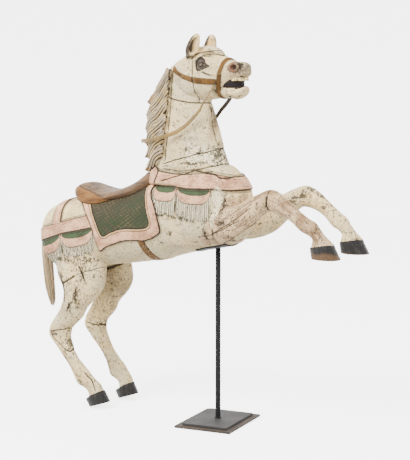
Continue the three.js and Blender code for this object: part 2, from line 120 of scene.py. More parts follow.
FRONT_HOOF = [[481, 730, 567, 746, 38, 104], [488, 693, 597, 692, 45, 104]]
HIND_LEG = [
    [-790, 665, -500, 665, 58, 66], [-742, 535, -502, 538, 60, 86], [-712, 491, -507, 495, 54, 93],
    [-701, 450, -535, 453, 48, 98], [-714, 400, -586, 404, 41, 102], [-738, 364, -606, 366, 37, 105],
    [-770, 317, -652, 322, 32, 110], [-776, 288, -662, 296, 29, 112], [-760, 262, -662, 270, 26, 113],
    [-696, 196, -632, 205, 23, 113], [-664, 157, -598, 168, 24, 111], [-645, 124, -562, 136, 27, 108],
    [-627, 88, -537, 112, 27, 103], [-586, 71, -520, 96, 25, 99], [-571, 48, -510, 76, 29, 96],
    [-582, 24, -506, 56, 31, 94],
]
HIND_HOOF = [[-588, 28, -506, 72, 35, 94], [-567, 0, -482, 27, 41, 92]]
EAR_HOLLOW = [
    [-88, 1424, -40, 1436, 10, 66], [-88, 1445, -38, 1452, 11, 68], [-80, 1468, -40, 1472, 9, 65],
    [-70, 1486, -50, 1487, 4, 58],
]
TAIL = [
    [-880, 706, -850, 722, 9], [-904, 676, -870, 696, 17], [-912, 620, -873, 628, 22],
    [-907, 540, -864, 542, 23], [-896, 450, -853, 450, 19], [-880, 395, -849, 395, 12],
    [-868, 370, -858, 370, 4],
]

# Locks of the mane run from its front edge back and down to tips at its back.
LOCKS = 6
LOCK_STARTS = ((-182, 1368), (-196, 1075))
LOCK_TIPS = ((-316, 1236), (-300, 974))
LOCK_BULGE = 6
LOCK_SIDES = ((62, 16), (95, 52))
LOCK_HALF = 20
LOCK_THICK = 13
LOCK_SWEEP = 22
LOCK_BEND = 0.55
LOCK_RELIEF = (4, 10, 12)
LOCK_ROOT_WIDTH = 0.2
STRANDS_PER_LOCK = 4

# Harness and cloth, as outlines in the side view.
BLANKET = [
    (-238, 1000), (-240, 902), (-208, 847), (-189, 791), (-180, 749), (-201, 728), (-249, 707),
    (-298, 703), (-355, 698), (-406, 683), (-449, 667), (-487, 648), (-500, 692), (-526, 751),
    (-562, 794), (-605, 830), (-660, 862), (-660, 1000),
]
BLANKET_FIELD = [
    (-300, 1000), (-290, 918), (-270, 881), (-249, 826), (-235, 769), (-279, 754), (-336, 751),
    (-386, 742), (-427, 727), (-464, 715), (-500, 772), (-547, 828), (-600, 868), (-600, 1000),
]
BREAST_BAND = [
    (-232, 918), (-184, 922), (-128, 919), (-63, 914), (-7, 915), (49, 917), (103, 912), (200, 914),
    (200, 958), (90, 961), (38, 973), (-3, 973), (-59, 969), (-115, 969), (-177, 974), (-232, 981),
]
RUMP_BAND = [
    (-510, 742), (-610, 721), (-679, 707), (-769, 679), (-920, 636), (-920, 694), (-771, 731),
    (-696, 750), (-631, 767), (-568, 782), (-546, 789),
]
BAND_END = 190
RUMP_STRAP = [(-688, 746), (-712, 880), (-752, 880), (-736, 736)]
# The strap along the spine: its half width, lowest height, back and front end.
CRUPPER = (26, 740, -850, -670)
GIRTH = [(-298, 712), (-266, 712), (-240, 650), (-228, 560), (-262, 560), (-276, 645)]
CHEEK_BAND = [
    (-168, 1376), (-134, 1353), (-84, 1337), (-50, 1334), (-25, 1332), (36, 1325), (36, 1309),
    (-25, 1309), (-50, 1312), (-84, 1322), (-134, 1338), (-176, 1362),
]
NOSEBAND = [
    (27, 1240), (46, 1240), (39, 1300), (46, 1325), (50, 1354), (58, 1380), (68, 1415),
    (50, 1415), (42, 1384), (34, 1356), (29, 1321), (24, 1300),
]
# Each scallop: its back and front end, the height it hangs from at either, how deep it is, and how
# far the fringe below it reaches. The green half of each is painted, to a share of its depth.
SCALLOPS = (
    (-232, -111, 920, 918, 54, 56),
    (-107, 40, 917, 914, 55, 66),
    (-850, -688, 656, 703, 62, 50),
    (-684, -514, 704, 740, 60, 42),
)
SCALLOP_FULLNESS = 4
SCALLOP_ROOT = 12
FRINGE_FOLLOW = 0.55
GREEN_SHARE = 0.45
FRINGE_PITCH = 16
EYE = ((-36, 60, 1381), (17, 9, 15))
NOSTRIL = ((100, 45, 1371), (15, 13, 11))
NOSTRIL_RIM = ((98, 36, 1372), (25, 14, 19))
EYE_OUTLINE = [
    (-52, 1362), (-58, 1388), (-52, 1401), (-38, 1409), (-21, 1400), (-14, 1386), (2, 1376),
    (-18, 1366), (-40, 1358),
]
# The pupil: its middle, then its half lengths. The cheek: its middle and its reach.
PUPIL = (-34, 1383, 15, 13)
CHEEK = (-92, 1312, 52)
BROW = [(-70, 1415), (-20, 1420), (6, 1396), (-22, 1410)]
UPPER_LIP = [(40, 1309), (60, 1314), (90, 1326), (118, 1332), (136, 1345)]
LOWER_LIP = [(56, 1300), (90, 1297), (114, 1300), (130, 1300)]
CHEEK_BONE = [(-12, 1352), (20, 1346), (52, 1350), (80, 1362)]
# The mouth's inside: its back end, lowest and highest place, and half width.
MOUTH_SPACE = (50, 1290, 1345, 40)

# Painted and carved lines, the joints between the blocks of wood and one line of painted shade, their
# width, and the side of the horse that they are on, with -1 for the near one, 1 for the far one and 0 for
# both.
SEAMS = (
    ([(-186, 1006), (-140, 1020), (-86, 1034), (-60, 1044), (-20, 1052), (20, 1066)], 1.9, 0),
    ([(-190, 940), (-150, 951), (-106, 964), (-70, 975), (-33, 988), (19, 1003), (50, 1010)], 1.8, 0),
    ([(-182, 986), (-140, 983), (-100, 981), (-59, 986), (-20, 992)], 1.5, 0),
    ([(-59, 984), (-10, 979), (40, 972), (70, 960), (96, 962), (104, 978)], 2.4, 0),
    ([(-182, 1256), (-145, 1247), (-105, 1240), (-69, 1238), (-20, 1238)], 2.4, 0),
    ([(-81, 1413), (-75, 1377), (-69, 1336), (-67, 1295), (-64, 1245)], 1.8, 0),
    ([(-20, 1240), (37, 1249), (80, 1264)], 2.2, 0),
    ([(-34, 1232), (-20, 1190), (-8, 1140), (6, 1095), (16, 1066)], 0.8, 0),
    ([(-87, 1404), (-54, 1425), (-17, 1433), (21, 1434), (46, 1424)], 1.6, 0),
    ([(-70, 1396), (-40, 1415), (0, 1422), (34, 1416)], 1.3, 0),
    ([(-62, 1384), (-52, 1402), (-26, 1413), (4, 1410)], 1.0, 0),
    ([(-24, 1352), (-10, 1346), (3, 1342)], 2.2, 0),
    ([(-174, 1371), (-181, 1325), (-177, 1255), (-180, 1199), (-183, 1119), (-186, 1073),
      (-183, 1020)], 1.9, 0),
    ([(-676, 504), (-643, 519), (-610, 539)], 3.4, -1),
    ([(-610, 539), (-562, 559), (-509, 576), (-461, 588)], 1.3, -1),
    ([(-712, 540), (-692, 514), (-680, 487), (-674, 438)], 2.4, -1),
    ([(-592, 577), (-574, 554), (-560, 523)], 2.6, -1),
    ([(-600, 490), (-606, 462), (-610, 436)], 1.6, -1),
    ([(-656, 388), (-643, 416), (-621, 431)], 2.4, -1),
    # Painted shade: the dark line in the crease between the belly and the far thigh.
    ([(-630, 539), (-572, 556), (-519, 577)], 4.2, 1),
    ([(-756, 296), (-711, 305), (-661, 315)], 1.8, -1),
    ([(-742, 280), (-701, 250), (-668, 227)], 2.2, -1),
    ([(-668, 227), (-648, 224), (-640, 256), (-646, 290)], 2.6, -1),
    ([(-748, 304), (-703, 296), (-659, 292), (-632, 239)], 2.0, 1),
    ([(-666, 192), (-628, 133), (-601, 81)], 1.5, 1),
    ([(-578, 142), (-546, 113), (-525, 74)], 1.8, -1),
    ([(-676, 204), (-643, 166), (-610, 124)], 1.1, -1),
    ([(318, 934), (321, 905), (318, 864)], 1.7, -1),
    ([(476, 862), (466, 850), (446, 846)], 1.3, 1),
    ([(40, 745), (90, 770), (150, 800), (230, 850)], 1.2, -1),
    ([(10, 735), (60, 752), (120, 776), (190, 812)], 1.1, -1),
    ([(96, 800), (150, 832), (220, 872), (290, 905)], 0.9, -1),
    ([(70, 712), (120, 728), (190, 764), (250, 806)], 0.9, -1),
)
# Where the ground coat shows white: outlines.
GESSO = (
    [(-92, 1086), (-94, 1034), (-72, 1004), (-38, 1015), (47, 1004), (20, 1064), (-44, 1070)],
    [(46, 915), (84, 912), (88, 860), (70, 800), (50, 764), (34, 790), (50, 850)],
)
# Where paint has flaked down to dark wood: x, z, half lengths along x and z, and the side as above.
FLAKED = (
    (20, 1040, 24, 42, 0), (-92, 1064, 16, 9, -1), (-44, 1052, 12, 16, -1), (-70, 1010, 60, 8, -1),
    (6, 752, 9, 36, -1), (48, 744, 8, 26, -1), (98, 797, 28, 12, -1), (62, 945, 18, 20, -1),
    (92, 850, 8, 56, -1), (146, 728, 24, 9, -1), (-187, 702, 16, 7, -1), (-150, 742, 14, 7, -1),
    (-95, 806, 60, 8, -1), (-190, 812, 26, 8, -1), (-690, 505, 14, 50, -1), (-574, 552, 10, 30, -1),
    (-606, 455, 10, 34, -1), (-643, 410, 12, 16, -1), (-652, 262, 18, 34, -1), (-730, 290, 20, 12, -1),
    (-690, 600, 70, 9, -1), (-560, 606, 50, 9, -1), (286, 877, 14, 28, 1), (323, 896, 12, 14, 1),
    (392, 904, 20, 14, 1), (350, 920, 26, 9, 1), (415, 856, 18, 8, 1), (470, 850, 8, 8, 1),
    (-668, 300, 26, 14, 1), (-632, 240, 8, 20, 1), (-595, 102, 8, 8, -1), (28, 1284, 14, 12, -1),
    (118, 1372, 18, 20, 0), (318, 880, 6, 30, -1),
)
# Soft stains and patches of painted shade: x, z, half lengths, how strong, and the side.
STAINS_AND_SHADE = (
    (104, 1368, 52, 34, 0.6, 0), (24, 1284, 22, 26, 0.7, 0), (-110, 1102, 66, 12, 0.5, 0),
    (-12, 1180, 18, 76, 0.75, 0), (-40, 1383, 44, 30, 0.35, 0), (-150, 1330, 26, 60, 0.25, 0),
    # In this line and the next, the patch over the far thigh and the three bands along the undersides of the
    # chest and belly are painted shade.
    (-570, 500, 130, 130, 0.55, 1), (98, 797, 44, 22, 0.5, -1), (-80, 690, 220, 18, 0.3, 0),
    (-560, 606, 150, 20, 0.35, 0), (120, 706, 120, 16, 0.5, 0), (-130, 990, 90, 12, 0.4, 0),
    (-470, 905, 70, 60, 0.4, 0), (-560, 850, 44, 60, 0.45, 0), (320, 926, 50, 16, 0.95, -1),
    (400, 888, 46, 20, 0.95, -1), (456, 832, 26, 40, 0.9, -1), (508, 776, 22, 40, 0.8, -1),
    (260, 905, 40, 12, 0.7, -1), (0, 1426, 54, 14, 0.6, 0), (-690, 440, 20, 100, 0.35, 0),
    (-690, 250, 30, 40, 0.3, -1), (-640, 300, 50, 60, 0.3, 1),
)
BARE_SHOULDER = [(58, 880), (120, 890), (200, 930), (330, 960), (620, 900), (640, 690), (420, 690),
                 (300, 820), (150, 735), (40, 700), (-20, 715), (20, 780), (50, 830)]


def spline(points, t):
    """Points of a Catmull-Rom curve through these ones, at t from 0 to 1."""
    points = np.asarray(points, float)
    last = len(points) - 1
    at = np.clip(np.asarray(t, float), 0, 1) * last
    index = np.minimum(at.astype(int), last - 1)
    w = (at - index)[:, None]
    wide = np.vstack([2 * points[0] - points[1], points, 2 * points[-1] - points[-2]])
    a, b, c, d = (wide[index + k] for k in range(4))
    return ((2 * w**3 - 3 * w**2 + 1) * b + (w**3 - 2 * w**2 + w) * (c - a) / 2
            + (3 * w**2 - 2 * w**3) * c + (w**3 - w**2) * (d - b) / 2)


def rounded(value, square):
    """A sine or cosine drawn out to a squarer round, as square grows past 2."""
    return np.sign(value) * np.abs(value) ** (2 / square)


def tube_faces(rows, sides):
    """The faces of a tube of this many ring gaps, with a fan at either end."""
    faces = []
    for row in range(rows):
        for k in range(sides):
            n = (k + 1) % sides
            faces.append((row * sides + k, row * sides + n, (row + 1) * sides + n, (row + 1) * sides + k))
    start, end = (rows + 1) * sides, (rows + 1) * sides + 1
    for k in range(sides):
        n = (k + 1) % sides
        faces.append((start, n, k))
        faces.append((end, rows * sides + k, rows * sides + n))
    return faces


def loft(table, sides=40, rows=40, square=2.0, pinch=0.0, pinch_back=0.0, grow=0.0, side=1):
    """A closed skin over a table's rings, as its points in millimetres and its faces."""
    rings = np.array([row + [0] * (6 - len(row)) for row in table], float)
    rings = spline(rings, np.linspace(0, 1, rows + 1))
    x1, z1, x2, z2, wide, y = rings.T
    angle = 2 * np.pi * np.arange(sides) / sides
    up = rounded(np.sin(angle), square)
    out = rounded(np.cos(angle), square) * (1 - np.where(up > 0, pinch, pinch_back) * np.abs(up))
    half_x, half_z = (x2 - x1) / 2, (z2 - z1) / 2
    reach = 1 + grow / np.hypot(half_x, half_z)
    points = np.stack([
        ((x1 + x2) / 2)[:, None] + (half_x * reach)[:, None] * up,
        side * (y[:, None] + (wide + grow)[:, None] * out),
        ((z1 + z2) / 2)[:, None] + (half_z * reach)[:, None] * up,
    ], 2).reshape(-1, 3)
    ends = [[(x1[i] + x2[i]) / 2, side * y[i], (z1[i] + z2[i]) / 2] for i in (0, -1)]
    return np.vstack([points, ends]), tube_faces(rows, sides)


def lock_table(share):
    """One lock of the mane, at this share of the way from the first lock to the last."""
    def mix(pair):
        return [a + (b - a) * share for a, b in zip(*pair)]
    start_x, start_z = mix(LOCK_STARTS)
    tip_x, tip_z = mix(LOCK_TIPS)
    out, back = mix(LOCK_SIDES)
    root, middle, tip = LOCK_RELIEF
    a = np.array([start_x, out + root, start_z])
    b = np.array([start_x - LOCK_SWEEP, out + middle, start_z + (tip_z - start_z) * LOCK_BEND])
    c = np.array([tip_x - LOCK_BULGE * math.sin(math.pi * share), back + tip, tip_z])
    table = []
    for t in (0, 0.25, 0.55, 0.85, 1):
        at = (1 - t)**2 * a + 2 * t * (1 - t) * b + t * t * c
        run = 2 * (1 - t) * (b - a) + 2 * t * (c - b)
        run[1] = 0
        run /= np.linalg.norm(run)
        fullness = LOCK_ROOT_WIDTH + (1 - LOCK_ROOT_WIDTH) * math.sin(math.pi * (0.12 + 0.86 * t)) ** 0.7
        half = LOCK_HALF * fullness
        table.append([at[0] + run[2] * half, at[2] - run[0] * half, at[0] - run[2] * half,
                      at[2] + run[0] * half, LOCK_THICK * fullness, at[1]])
    return table


def both(table, **form):
    """The skin of a table on the horse's left, and mirrored on its right."""
    return [loft(table, side=side, **form) for side in (1, -1)]


def ball(at, half, side=1, sides=20):
    """An ellipsoid with these half sizes."""
    x, y, z = at
    a, b, c = half
    table = [[x + a * math.cos(t), z - c * math.sin(t), x + a * math.cos(t), z + c * math.sin(t),
              b * math.sin(t), y] for t in np.linspace(0.05, math.pi - 0.05, 9)]
    return loft(table, sides=sides, rows=16, side=side)


def carved_blocks():
    """The blocks and limbs that the horse was carved as, by name."""
    locks = [skin for i in range(LOCKS) for skin in both(lock_table(i / (LOCKS - 1)), sides=20, rows=20)]
    round_hoof = {"sides": 48, "rows": 8, "square": 2.1}
    return {
        "trunk": [loft(TRUNK, 72, 60, 2.5)],
        "neck": [loft(NECK, 56, 36, 2.2, pinch=0.35)],
        "head": [loft(HEAD, 56, 48, 2.4), loft(JAW, 40, 30, 2.2), *both_balls(*EYE),
                 *both_balls(*NOSTRIL_RIM)],
        "mouth": [loft(MOUTH_WALL, 24, 12, 3)],
        "ear": both(EAR, sides=28, rows=24),
        "forelock": [loft(FORELOCK, 32, 28)],
        "mane": [loft(MANE, 48, 40, 2.2, pinch_back=0.25), *locks],
        "saddle": [loft(SADDLE, 56, 44, 2.2)],
        "front_leg": both(FRONT_LEG, sides=32, rows=60),
        "hind_leg": both(HIND_LEG, sides=32, rows=72),
        "hoof": both(FRONT_HOOF, **round_hoof) + both(HIND_HOOF, **round_hoof),
    }


def both_balls(at, half):
    """An ellipsoid at either side of the horse."""
    return [ball(at, half, side) for side in (1, -1)]


def stacked(skins):
    """Several skins as one list of points and one of faces."""
    points, faces, start = [np.zeros((0, 3))], [], 0
    for made, corners in skins:
        points.append(made)
        faces += [tuple(start + c for c in face) for face in corners]
        start += len(made)
    return np.vstack(points), faces


def mesh_of(name, points, faces, smooth=True):
    """A Blender mesh of points in millimetres."""
    mesh = bpy.data.meshes.new(name)
    mesh.from_pydata((np.asarray(points, float) * MM).tolist(), [], faces)
    mesh.update()
    if smooth:
        mesh.shade_smooth()
    return mesh


def placed(name, data):
    """A new object in the scene with this mesh, lamp or camera."""
    made = bpy.data.objects.new(name, data)
    bpy.context.scene.collection.objects.link(made)
    return made


def keep_field(mesh, name, values):
    """Stores a number or a vector for each point of a mesh, for its finish to read."""
    kind, key = ("FLOAT", "value") if values.ndim == 1 else ("FLOAT_VECTOR", "vector")
    attribute = mesh.attributes.new(name, kind, "POINT")
    attribute.data.foreach_set(key, values.astype(np.float32).ravel())


def piece(name, mesh, finish, slot, *nodes):
    """Puts a mesh in the scene as a piece that rides on the body and stands for these nodes."""
    made = placed(name, mesh)
    made.data.materials.clear()
    made.data.materials.append(finish)
    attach(made, ROOT)
    if nodes:
        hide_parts(*nodes)
    return made


def shaped_by(mesh, kind, **settings):
    """The mesh that a modifier makes of this one."""
    rough = placed("rough", mesh)
    modifier = rough.modifiers.new("form", kind)
    for name, value in settings.items():
        setattr(modifier, name, value)
    evaluated = rough.evaluated_get(bpy.context.evaluated_depsgraph_get())
    made = bpy.data.meshes.new_from_object(evaluated)
    bpy.data.objects.remove(rough)
    return made


def points_of(mesh):
    """A mesh's points in millimetres."""
    flat = np.zeros(len(mesh.vertices) * 3, np.float32)
    mesh.vertices.foreach_get("co", flat)
    return flat.reshape(-1, 3).astype(float) / MM


def edges_of(mesh):
    """The two ends of each edge of a mesh."""
    flat = np.zeros(len(mesh.edges) * 2, np.int32)
    mesh.edges.foreach_get("vertices", flat)
    return flat.reshape(-1, 2)


def outward(points, mesh):
    """The surface's normals at its points."""
    mesh.vertices.foreach_set("co", (points * MM).astype(np.float32).ravel())
    mesh.update()
    flat = np.zeros(len(points) * 3, np.float32)
    mesh.vertex_normals.foreach_get("vector", flat)
    return flat.reshape(-1, 3).astype(float)


def relaxed(points, edges, rounds, share):
    """The points after each has moved this share of the way to the middle of its neighbours."""
    a, b = edges.T
    size = len(points)
    count = np.bincount(a, minlength=size) + np.bincount(b, minlength=size)
    count = np.maximum(count, 1)[:, None]
    for _ in range(rounds):
        total = np.stack([np.bincount(a, points[b, k], size) + np.bincount(b, points[a, k], size)
                          for k in range(points.shape[1])], 1)
        points = points + share * (total / count - points)
    return points


def rise(value, low, high):
    """From 0 below low to 1 above high, without a corner."""
    t = np.clip((value - low) / (high - low), 0, 1)
    return t * t * (3 - 2 * t)


def soft_noise(points, size, seed):
    """Noise from -1 to 1 with lumps of this size in millimetres."""
    table = np.random.RandomState(seed).uniform(-1, 1, 4096)
    at = points / size
    cell = np.floor(at).astype(np.int64)
    w = at - cell
    w = w * w * (3 - 2 * w)
    total = np.zeros(len(points))
    for dx in (0, 1):
        for dy in (0, 1):
            for dz in (0, 1):
                corner = cell + (dx, dy, dz)
                key = (corner[:, 0] * 73856093) ^ (corner[:, 1] * 19349663) ^ (corner[:, 2] * 83492791)
                weight = (np.abs(1 - dx - w[:, 0]) * np.abs(1 - dy - w[:, 1]) * np.abs(1 - dz - w[:, 2]))
                total += weight * table[key % 4096]
    return total


def curve_round(outline, steps=6):
    """A closed outline with its corners carried through as a curve."""
    points = np.asarray(outline, float)
    closed = np.vstack([points, points[:3]])
    t = (np.arange(len(points) * steps) / steps + 1) / (len(closed) - 1)
    return spline(closed, t)


def inside(x, z, outline):
    """Signed distance in the side view to an outline, positive inside it."""
    outline = np.asarray(outline, float)
    best = np.full(len(x), 1e9)
    turned = np.zeros(len(x), bool)
    for (ax, az), (bx, bz) in zip(outline, np.roll(outline, -1, axis=0)):
        dx, dz = bx - ax, bz - az
        t = np.clip(((x - ax) * dx + (z - az) * dz) / max(dx * dx + dz * dz, 1e-9), 0, 1)
        best = np.minimum(best, np.hypot(x - ax - t * dx, z - az - t * dz))
        crosses = (az > z) != (bz > z)
        at = ax + (z - az) * dx / (dz if abs(dz) > 1e-9 else 1e-9)
        turned ^= crosses & (x < at)
    return np.where(turned, best, -best)


def beside(x, z, line):
    """Signed distance in the side view to an open line."""
    line = spline(line, np.linspace(0, 1, 4 * len(line)))
    best = np.full(len(x), 1e9)
    signed = np.full(len(x), 1e9)
    for (ax, az), (bx, bz) in zip(line[:-1], line[1:]):
        dx, dz = bx - ax, bz - az
        t = np.clip(((x - ax) * dx + (z - az) * dz) / (dx * dx + dz * dz), 0, 1)
        gap = np.hypot(x - ax - t * dx, z - az - t * dz)
        side = np.sign(dx * (z - az) - dz * (x - ax))
        nearer = gap < best
        best = np.where(nearer, gap, best)
        signed = np.where(nearer, gap * side, signed)
    return signed


def mane_flow(x, z):
    """Where a point of the mane lies: across the locks from the first, and along its lock."""
    front = np.interp(z, [1030, 1330, 1396], [-186, -178, -165])
    back = np.interp(z, [974, 1100, 1236, 1374], [-300, -326, -318, -225])
    t = np.clip((front - x) / (front - back), 0, 1)
    ahead = (1 - t)**2 + 2 * t * (1 - t) * (1 - LOCK_BEND)
    behind = t * t + 2 * t * (1 - t) * LOCK_BEND
    (_, z0), (_, z1) = LOCK_STARTS
    (_, tip0), (_, tip1) = LOCK_TIPS
    share = (z0 * ahead + tip0 * behind - z) / ((z0 - z1) * ahead + (tip0 - tip1) * behind)
    return share * (LOCKS - 1), t


def along_leg(points, table):
    """Arc length along a leg's middle line, and the two offsets from it, as a grain direction."""
    rings = spline(np.array([row[:4] for row in table], float), np.linspace(0, 1, 80))
    middle = np.stack([(rings[:, 0] + rings[:, 2]) / 2, (rings[:, 1] + rings[:, 3]) / 2], 1)
    step = np.hypot(*np.diff(middle, axis=0).T)
    length = np.concatenate([[0], np.cumsum(step)])
    gap = ((points[:, None, [0, 2]] - middle[None]) ** 2).sum(2)
    nearest = gap.argmin(1)
    run = np.gradient(middle, axis=0)
    run /= np.hypot(*run.T)[:, None]
    off = points[:, [0, 2]] - middle[nearest]
    tangent = run[nearest]
    ahead = (off * tangent).sum(1)
    across = off[:, 0] * tangent[:, 1] - off[:, 1] * tangent[:, 0]
    return np.stack([length[nearest] + ahead, points[:, 1], across], 1)


def hollowed(blocks):
    """All the blocks as one mesh, with the hollows cut into the ears and the nostrils."""
    cuts = {"ear": both(EAR_HOLLOW, sides=28, rows=20), "head": both_balls(*NOSTRIL)}
    points, faces = stacked([])
    for name, skins in blocks.items():
        for skin in skins:
            if name in cuts:
                skin = cut_from(skin, cuts[name])
            points, faces = stacked([(points, faces), skin])
    return mesh_of("horse_blocks", points, faces)


def cut_from(skin, tools):
    """A skin less these tools, which are skins too."""
    tool = placed("tool", mesh_of("tool", *stacked(tools)))
    cut = shaped_by(mesh_of("block", *skin), "BOOLEAN", operation="DIFFERENCE", solver="EXACT", object=tool)
    bpy.data.objects.remove(tool)
    return points_of(cut), [tuple(face.vertices) for face in cut.polygons]


class Carving:
    """The horse's surface while it is carved: points in millimetres, and fields on them."""

    def __init__(self):
        blocks = carved_blocks()
        rough = hollowed(blocks)
        self.mesh = shaped_by(rough, "REMESH", mode="VOXEL", voxel_size=VOXEL * MM, use_smooth_shade=True)
        self.edges = edges_of(self.mesh)
        points = points_of(self.mesh)
        for _ in range(3):
            points = relaxed(points, self.edges, 1, 0.55)
            points = relaxed(points, self.edges, 1, -0.5)
        self.points = points
        self.normals = outward(points, self.mesh)
        self.blocks = self.belonging(blocks)
        self.fields = {}

    def gap_to(self, skins, far=25.0):
        """How far each point is from these skins, in millimetres, and no more than far."""
        corners, faces = stacked(skins)
        tree = BVHTree.FromPolygons(corners.tolist(), faces)
        near = ((self.points > corners.min(0) - far) & (self.points < corners.max(0) + far)).all(1)
        gap = np.full(len(self.points), far)
        for i in np.flatnonzero(near):
            found = tree.find_nearest(self.points[i], far)
            if found[0] is not None:
                gap[i] = found[3]
        return gap

    def belonging(self, blocks):
        """For each block, how much nearer than any other block it is, in millimetres."""
        gaps = {name: self.gap_to(skins) for name, skins in blocks.items()}
        result = {}
        for name, gap in gaps.items():
            others = np.minimum.reduce([other for key, other in gaps.items() if key != name])
            result[name] = others - gap
        return result

    def push(self, height):
        """Moves the surface out by this height at each point."""
        self.points = self.points + self.normals * height[:, None]
        self.normals = outward(self.points, self.mesh)

    def finished(self):
        """The mesh with its fields, brought down to its triangle limit."""
        blurred = relaxed(self.points, self.edges, 14, 0.5)
        self.fields["hollow"] = ((blurred - self.points) * self.normals).sum(1)
        for name, values in self.fields.items():
            keep_field(self.mesh, name, values)
        triangles = 2 * len(self.mesh.polygons)
        share = min(1, MOST_TRIANGLES / triangles)
        made = shaped_by(self.mesh, "DECIMATE", ratio=share)
        made.shade_smooth()
        return made


def festoons(x, z):
    """How far inside the green half, the pink border and the fringe of a scallop a point is."""
    green, pink, fringe = (np.full(len(x), -40.0) for _ in range(3))
    for back, front, high_back, high_front, deep, reach in SCALLOPS:
        t = (x - back) / (front - back)
        ends = np.minimum(x - back, front - x)
        below = high_back + (high_front - high_back) * np.clip(t, 0, 1) - z
        arc = np.sqrt(np.clip(1 - np.abs(2 * t - 1)**2.4, 0, 1))
        full = np.sqrt(np.clip(1 - np.abs(2 * t - 1)**SCALLOP_FULLNESS, 0, 1))
        under = below + SCALLOP_ROOT
        jag = 5 * np.sin(x / 7.3) * np.sin(x / 3.1 + 1) + 4 * np.sin(x / 11.0)
        low = FRINGE_FOLLOW * deep * full + (1 - FRINGE_FOLLOW) * deep + reach + jag
        green = np.maximum(green, np.minimum.reduce([GREEN_SHARE * deep * arc - below, under, ends - 4]))
        pink = np.maximum(pink, np.minimum.reduce([deep * full - below, under, ends]))
        fringe = np.maximum(fringe, np.minimum.reduce([low - below, under, ends + 1]))
    return green, pink, fringe


def carve_harness(carving):
    """Blanket, bands, scallops, fringe, girth and bridle stand proud of the wood."""
    x, y, z = carving.points.T
    blocks = carving.blocks
    body = np.maximum.reduce([blocks["trunk"], blocks["neck"], blocks["hind_leg"], blocks["front_leg"]])
    on_body = rise(body, -1, 1)
    face = rise(blocks["head"], -1, 1)
    blanket = inside(x, z, curve_round(BLANKET))
    field = inside(x, z, curve_round(BLANKET_FIELD))
    band = np.maximum(inside(x, z, BREAST_BAND), inside(x, z, RUMP_BAND))
    band = np.where(x > BAND_END, -40, band)
    half, low, back, front = CRUPPER
    crupper = np.minimum.reduce([half - np.abs(y), np.where(z > low, 40, -40), front - x, x - back])
    strap = np.maximum(inside(x, z, RUMP_STRAP), crupper)
    girth = inside(x, z, GIRTH)
    green, pink, fringe = festoons(x, z)
    scallop = np.maximum(pink, green)
    off_blanket = rise(-blanket, -1, 1)
    bridle = np.maximum(inside(x, z, curve_round(CHEEK_BAND)), inside(x, z, NOSEBAND))
    strokes = 0.5 + 0.5 * np.cos(2 * np.pi * (x + 0.12 * (z - 800)) / FRINGE_PITCH)
    edge = (-1.4, 1.4)
    height = on_body * np.maximum.reduce([
        6.0 * rise(blanket, *edge) + 1.2 * rise(-field, *edge) * rise(blanket, *edge),
        off_blanket * 6.0 * rise(band, *edge),
        off_blanket * 4.5 * rise(strap, *edge),
        off_blanket * 4.0 * rise(scallop, *edge),
        off_blanket * (1.6 + 2.0 * strokes) * rise(fringe, *edge),
        off_blanket * 4.0 * rise(girth, *edge),
    ])
    height += face * 3.5 * rise(bridle, *edge)
    carving.push(height)
    inside_body = np.where(body > -2, 0, -40)
    carving.fields.update({
        "blanket": np.minimum(blanket, 60) + inside_body,
        "blanket_field": np.clip(field, -60, 60),
        "band": np.clip(band, -30, 60) + inside_body,
        "strap": np.clip(strap, -30, 60) + inside_body,
        "girth": np.clip(girth, -30, 60) + inside_body,
        "green_scallop": np.clip(green, -30, 30) + inside_body,
        "pink_scallop": np.clip(pink, -30, 40) + inside_body,
        "fringe": np.clip(fringe, -30, 60) + inside_body,
        "bridle": np.clip(bridle, -30, 30) + np.where(blocks["head"] > -2, 0, -40),
    })


def carve_mane(carving):
    """Locks parted by deep grooves, each with fine strands, and the forelock's strands."""
    x, y, z = carving.points.T
    on_mane = rise(carving.blocks["mane"], -1, 2)
    flow, t = mane_flow(x, z)
    wave = flow + 0.10 * np.sin(2 * np.pi * t * 1.3 + flow)
    lock = 0.5 + 0.5 * np.cos(2 * np.pi * wave)
    strand = 0.5 + 0.5 * np.cos(2 * np.pi * STRANDS_PER_LOCK * wave)
    fine = 0.5 + 0.5 * np.cos(2 * np.pi * (2 * STRANDS_PER_LOCK + 1) * wave)
    deep = rise(t, 0.0, 0.25)
    height = on_mane * deep * (5.0 * (lock - 0.55) + 3.2 * (strand - 0.6) + 0.8 * (fine - 0.5))
    carving.fields["mane_strand"] = np.where(carving.blocks["mane"] > -3, strand, 1.0)
    carving.fields["mane_tip"] = np.where(carving.blocks["mane"] > -3, t, 0.0)
    on_forelock = rise(carving.blocks["forelock"], -1, 1)
    comb = 0.5 + 0.5 * np.cos(2 * np.pi * (np.abs(y) + 0.06 * (x + 30)) / 8.0)
    height += on_forelock * 2.6 * (comb - 0.5)
    carving.push(height)


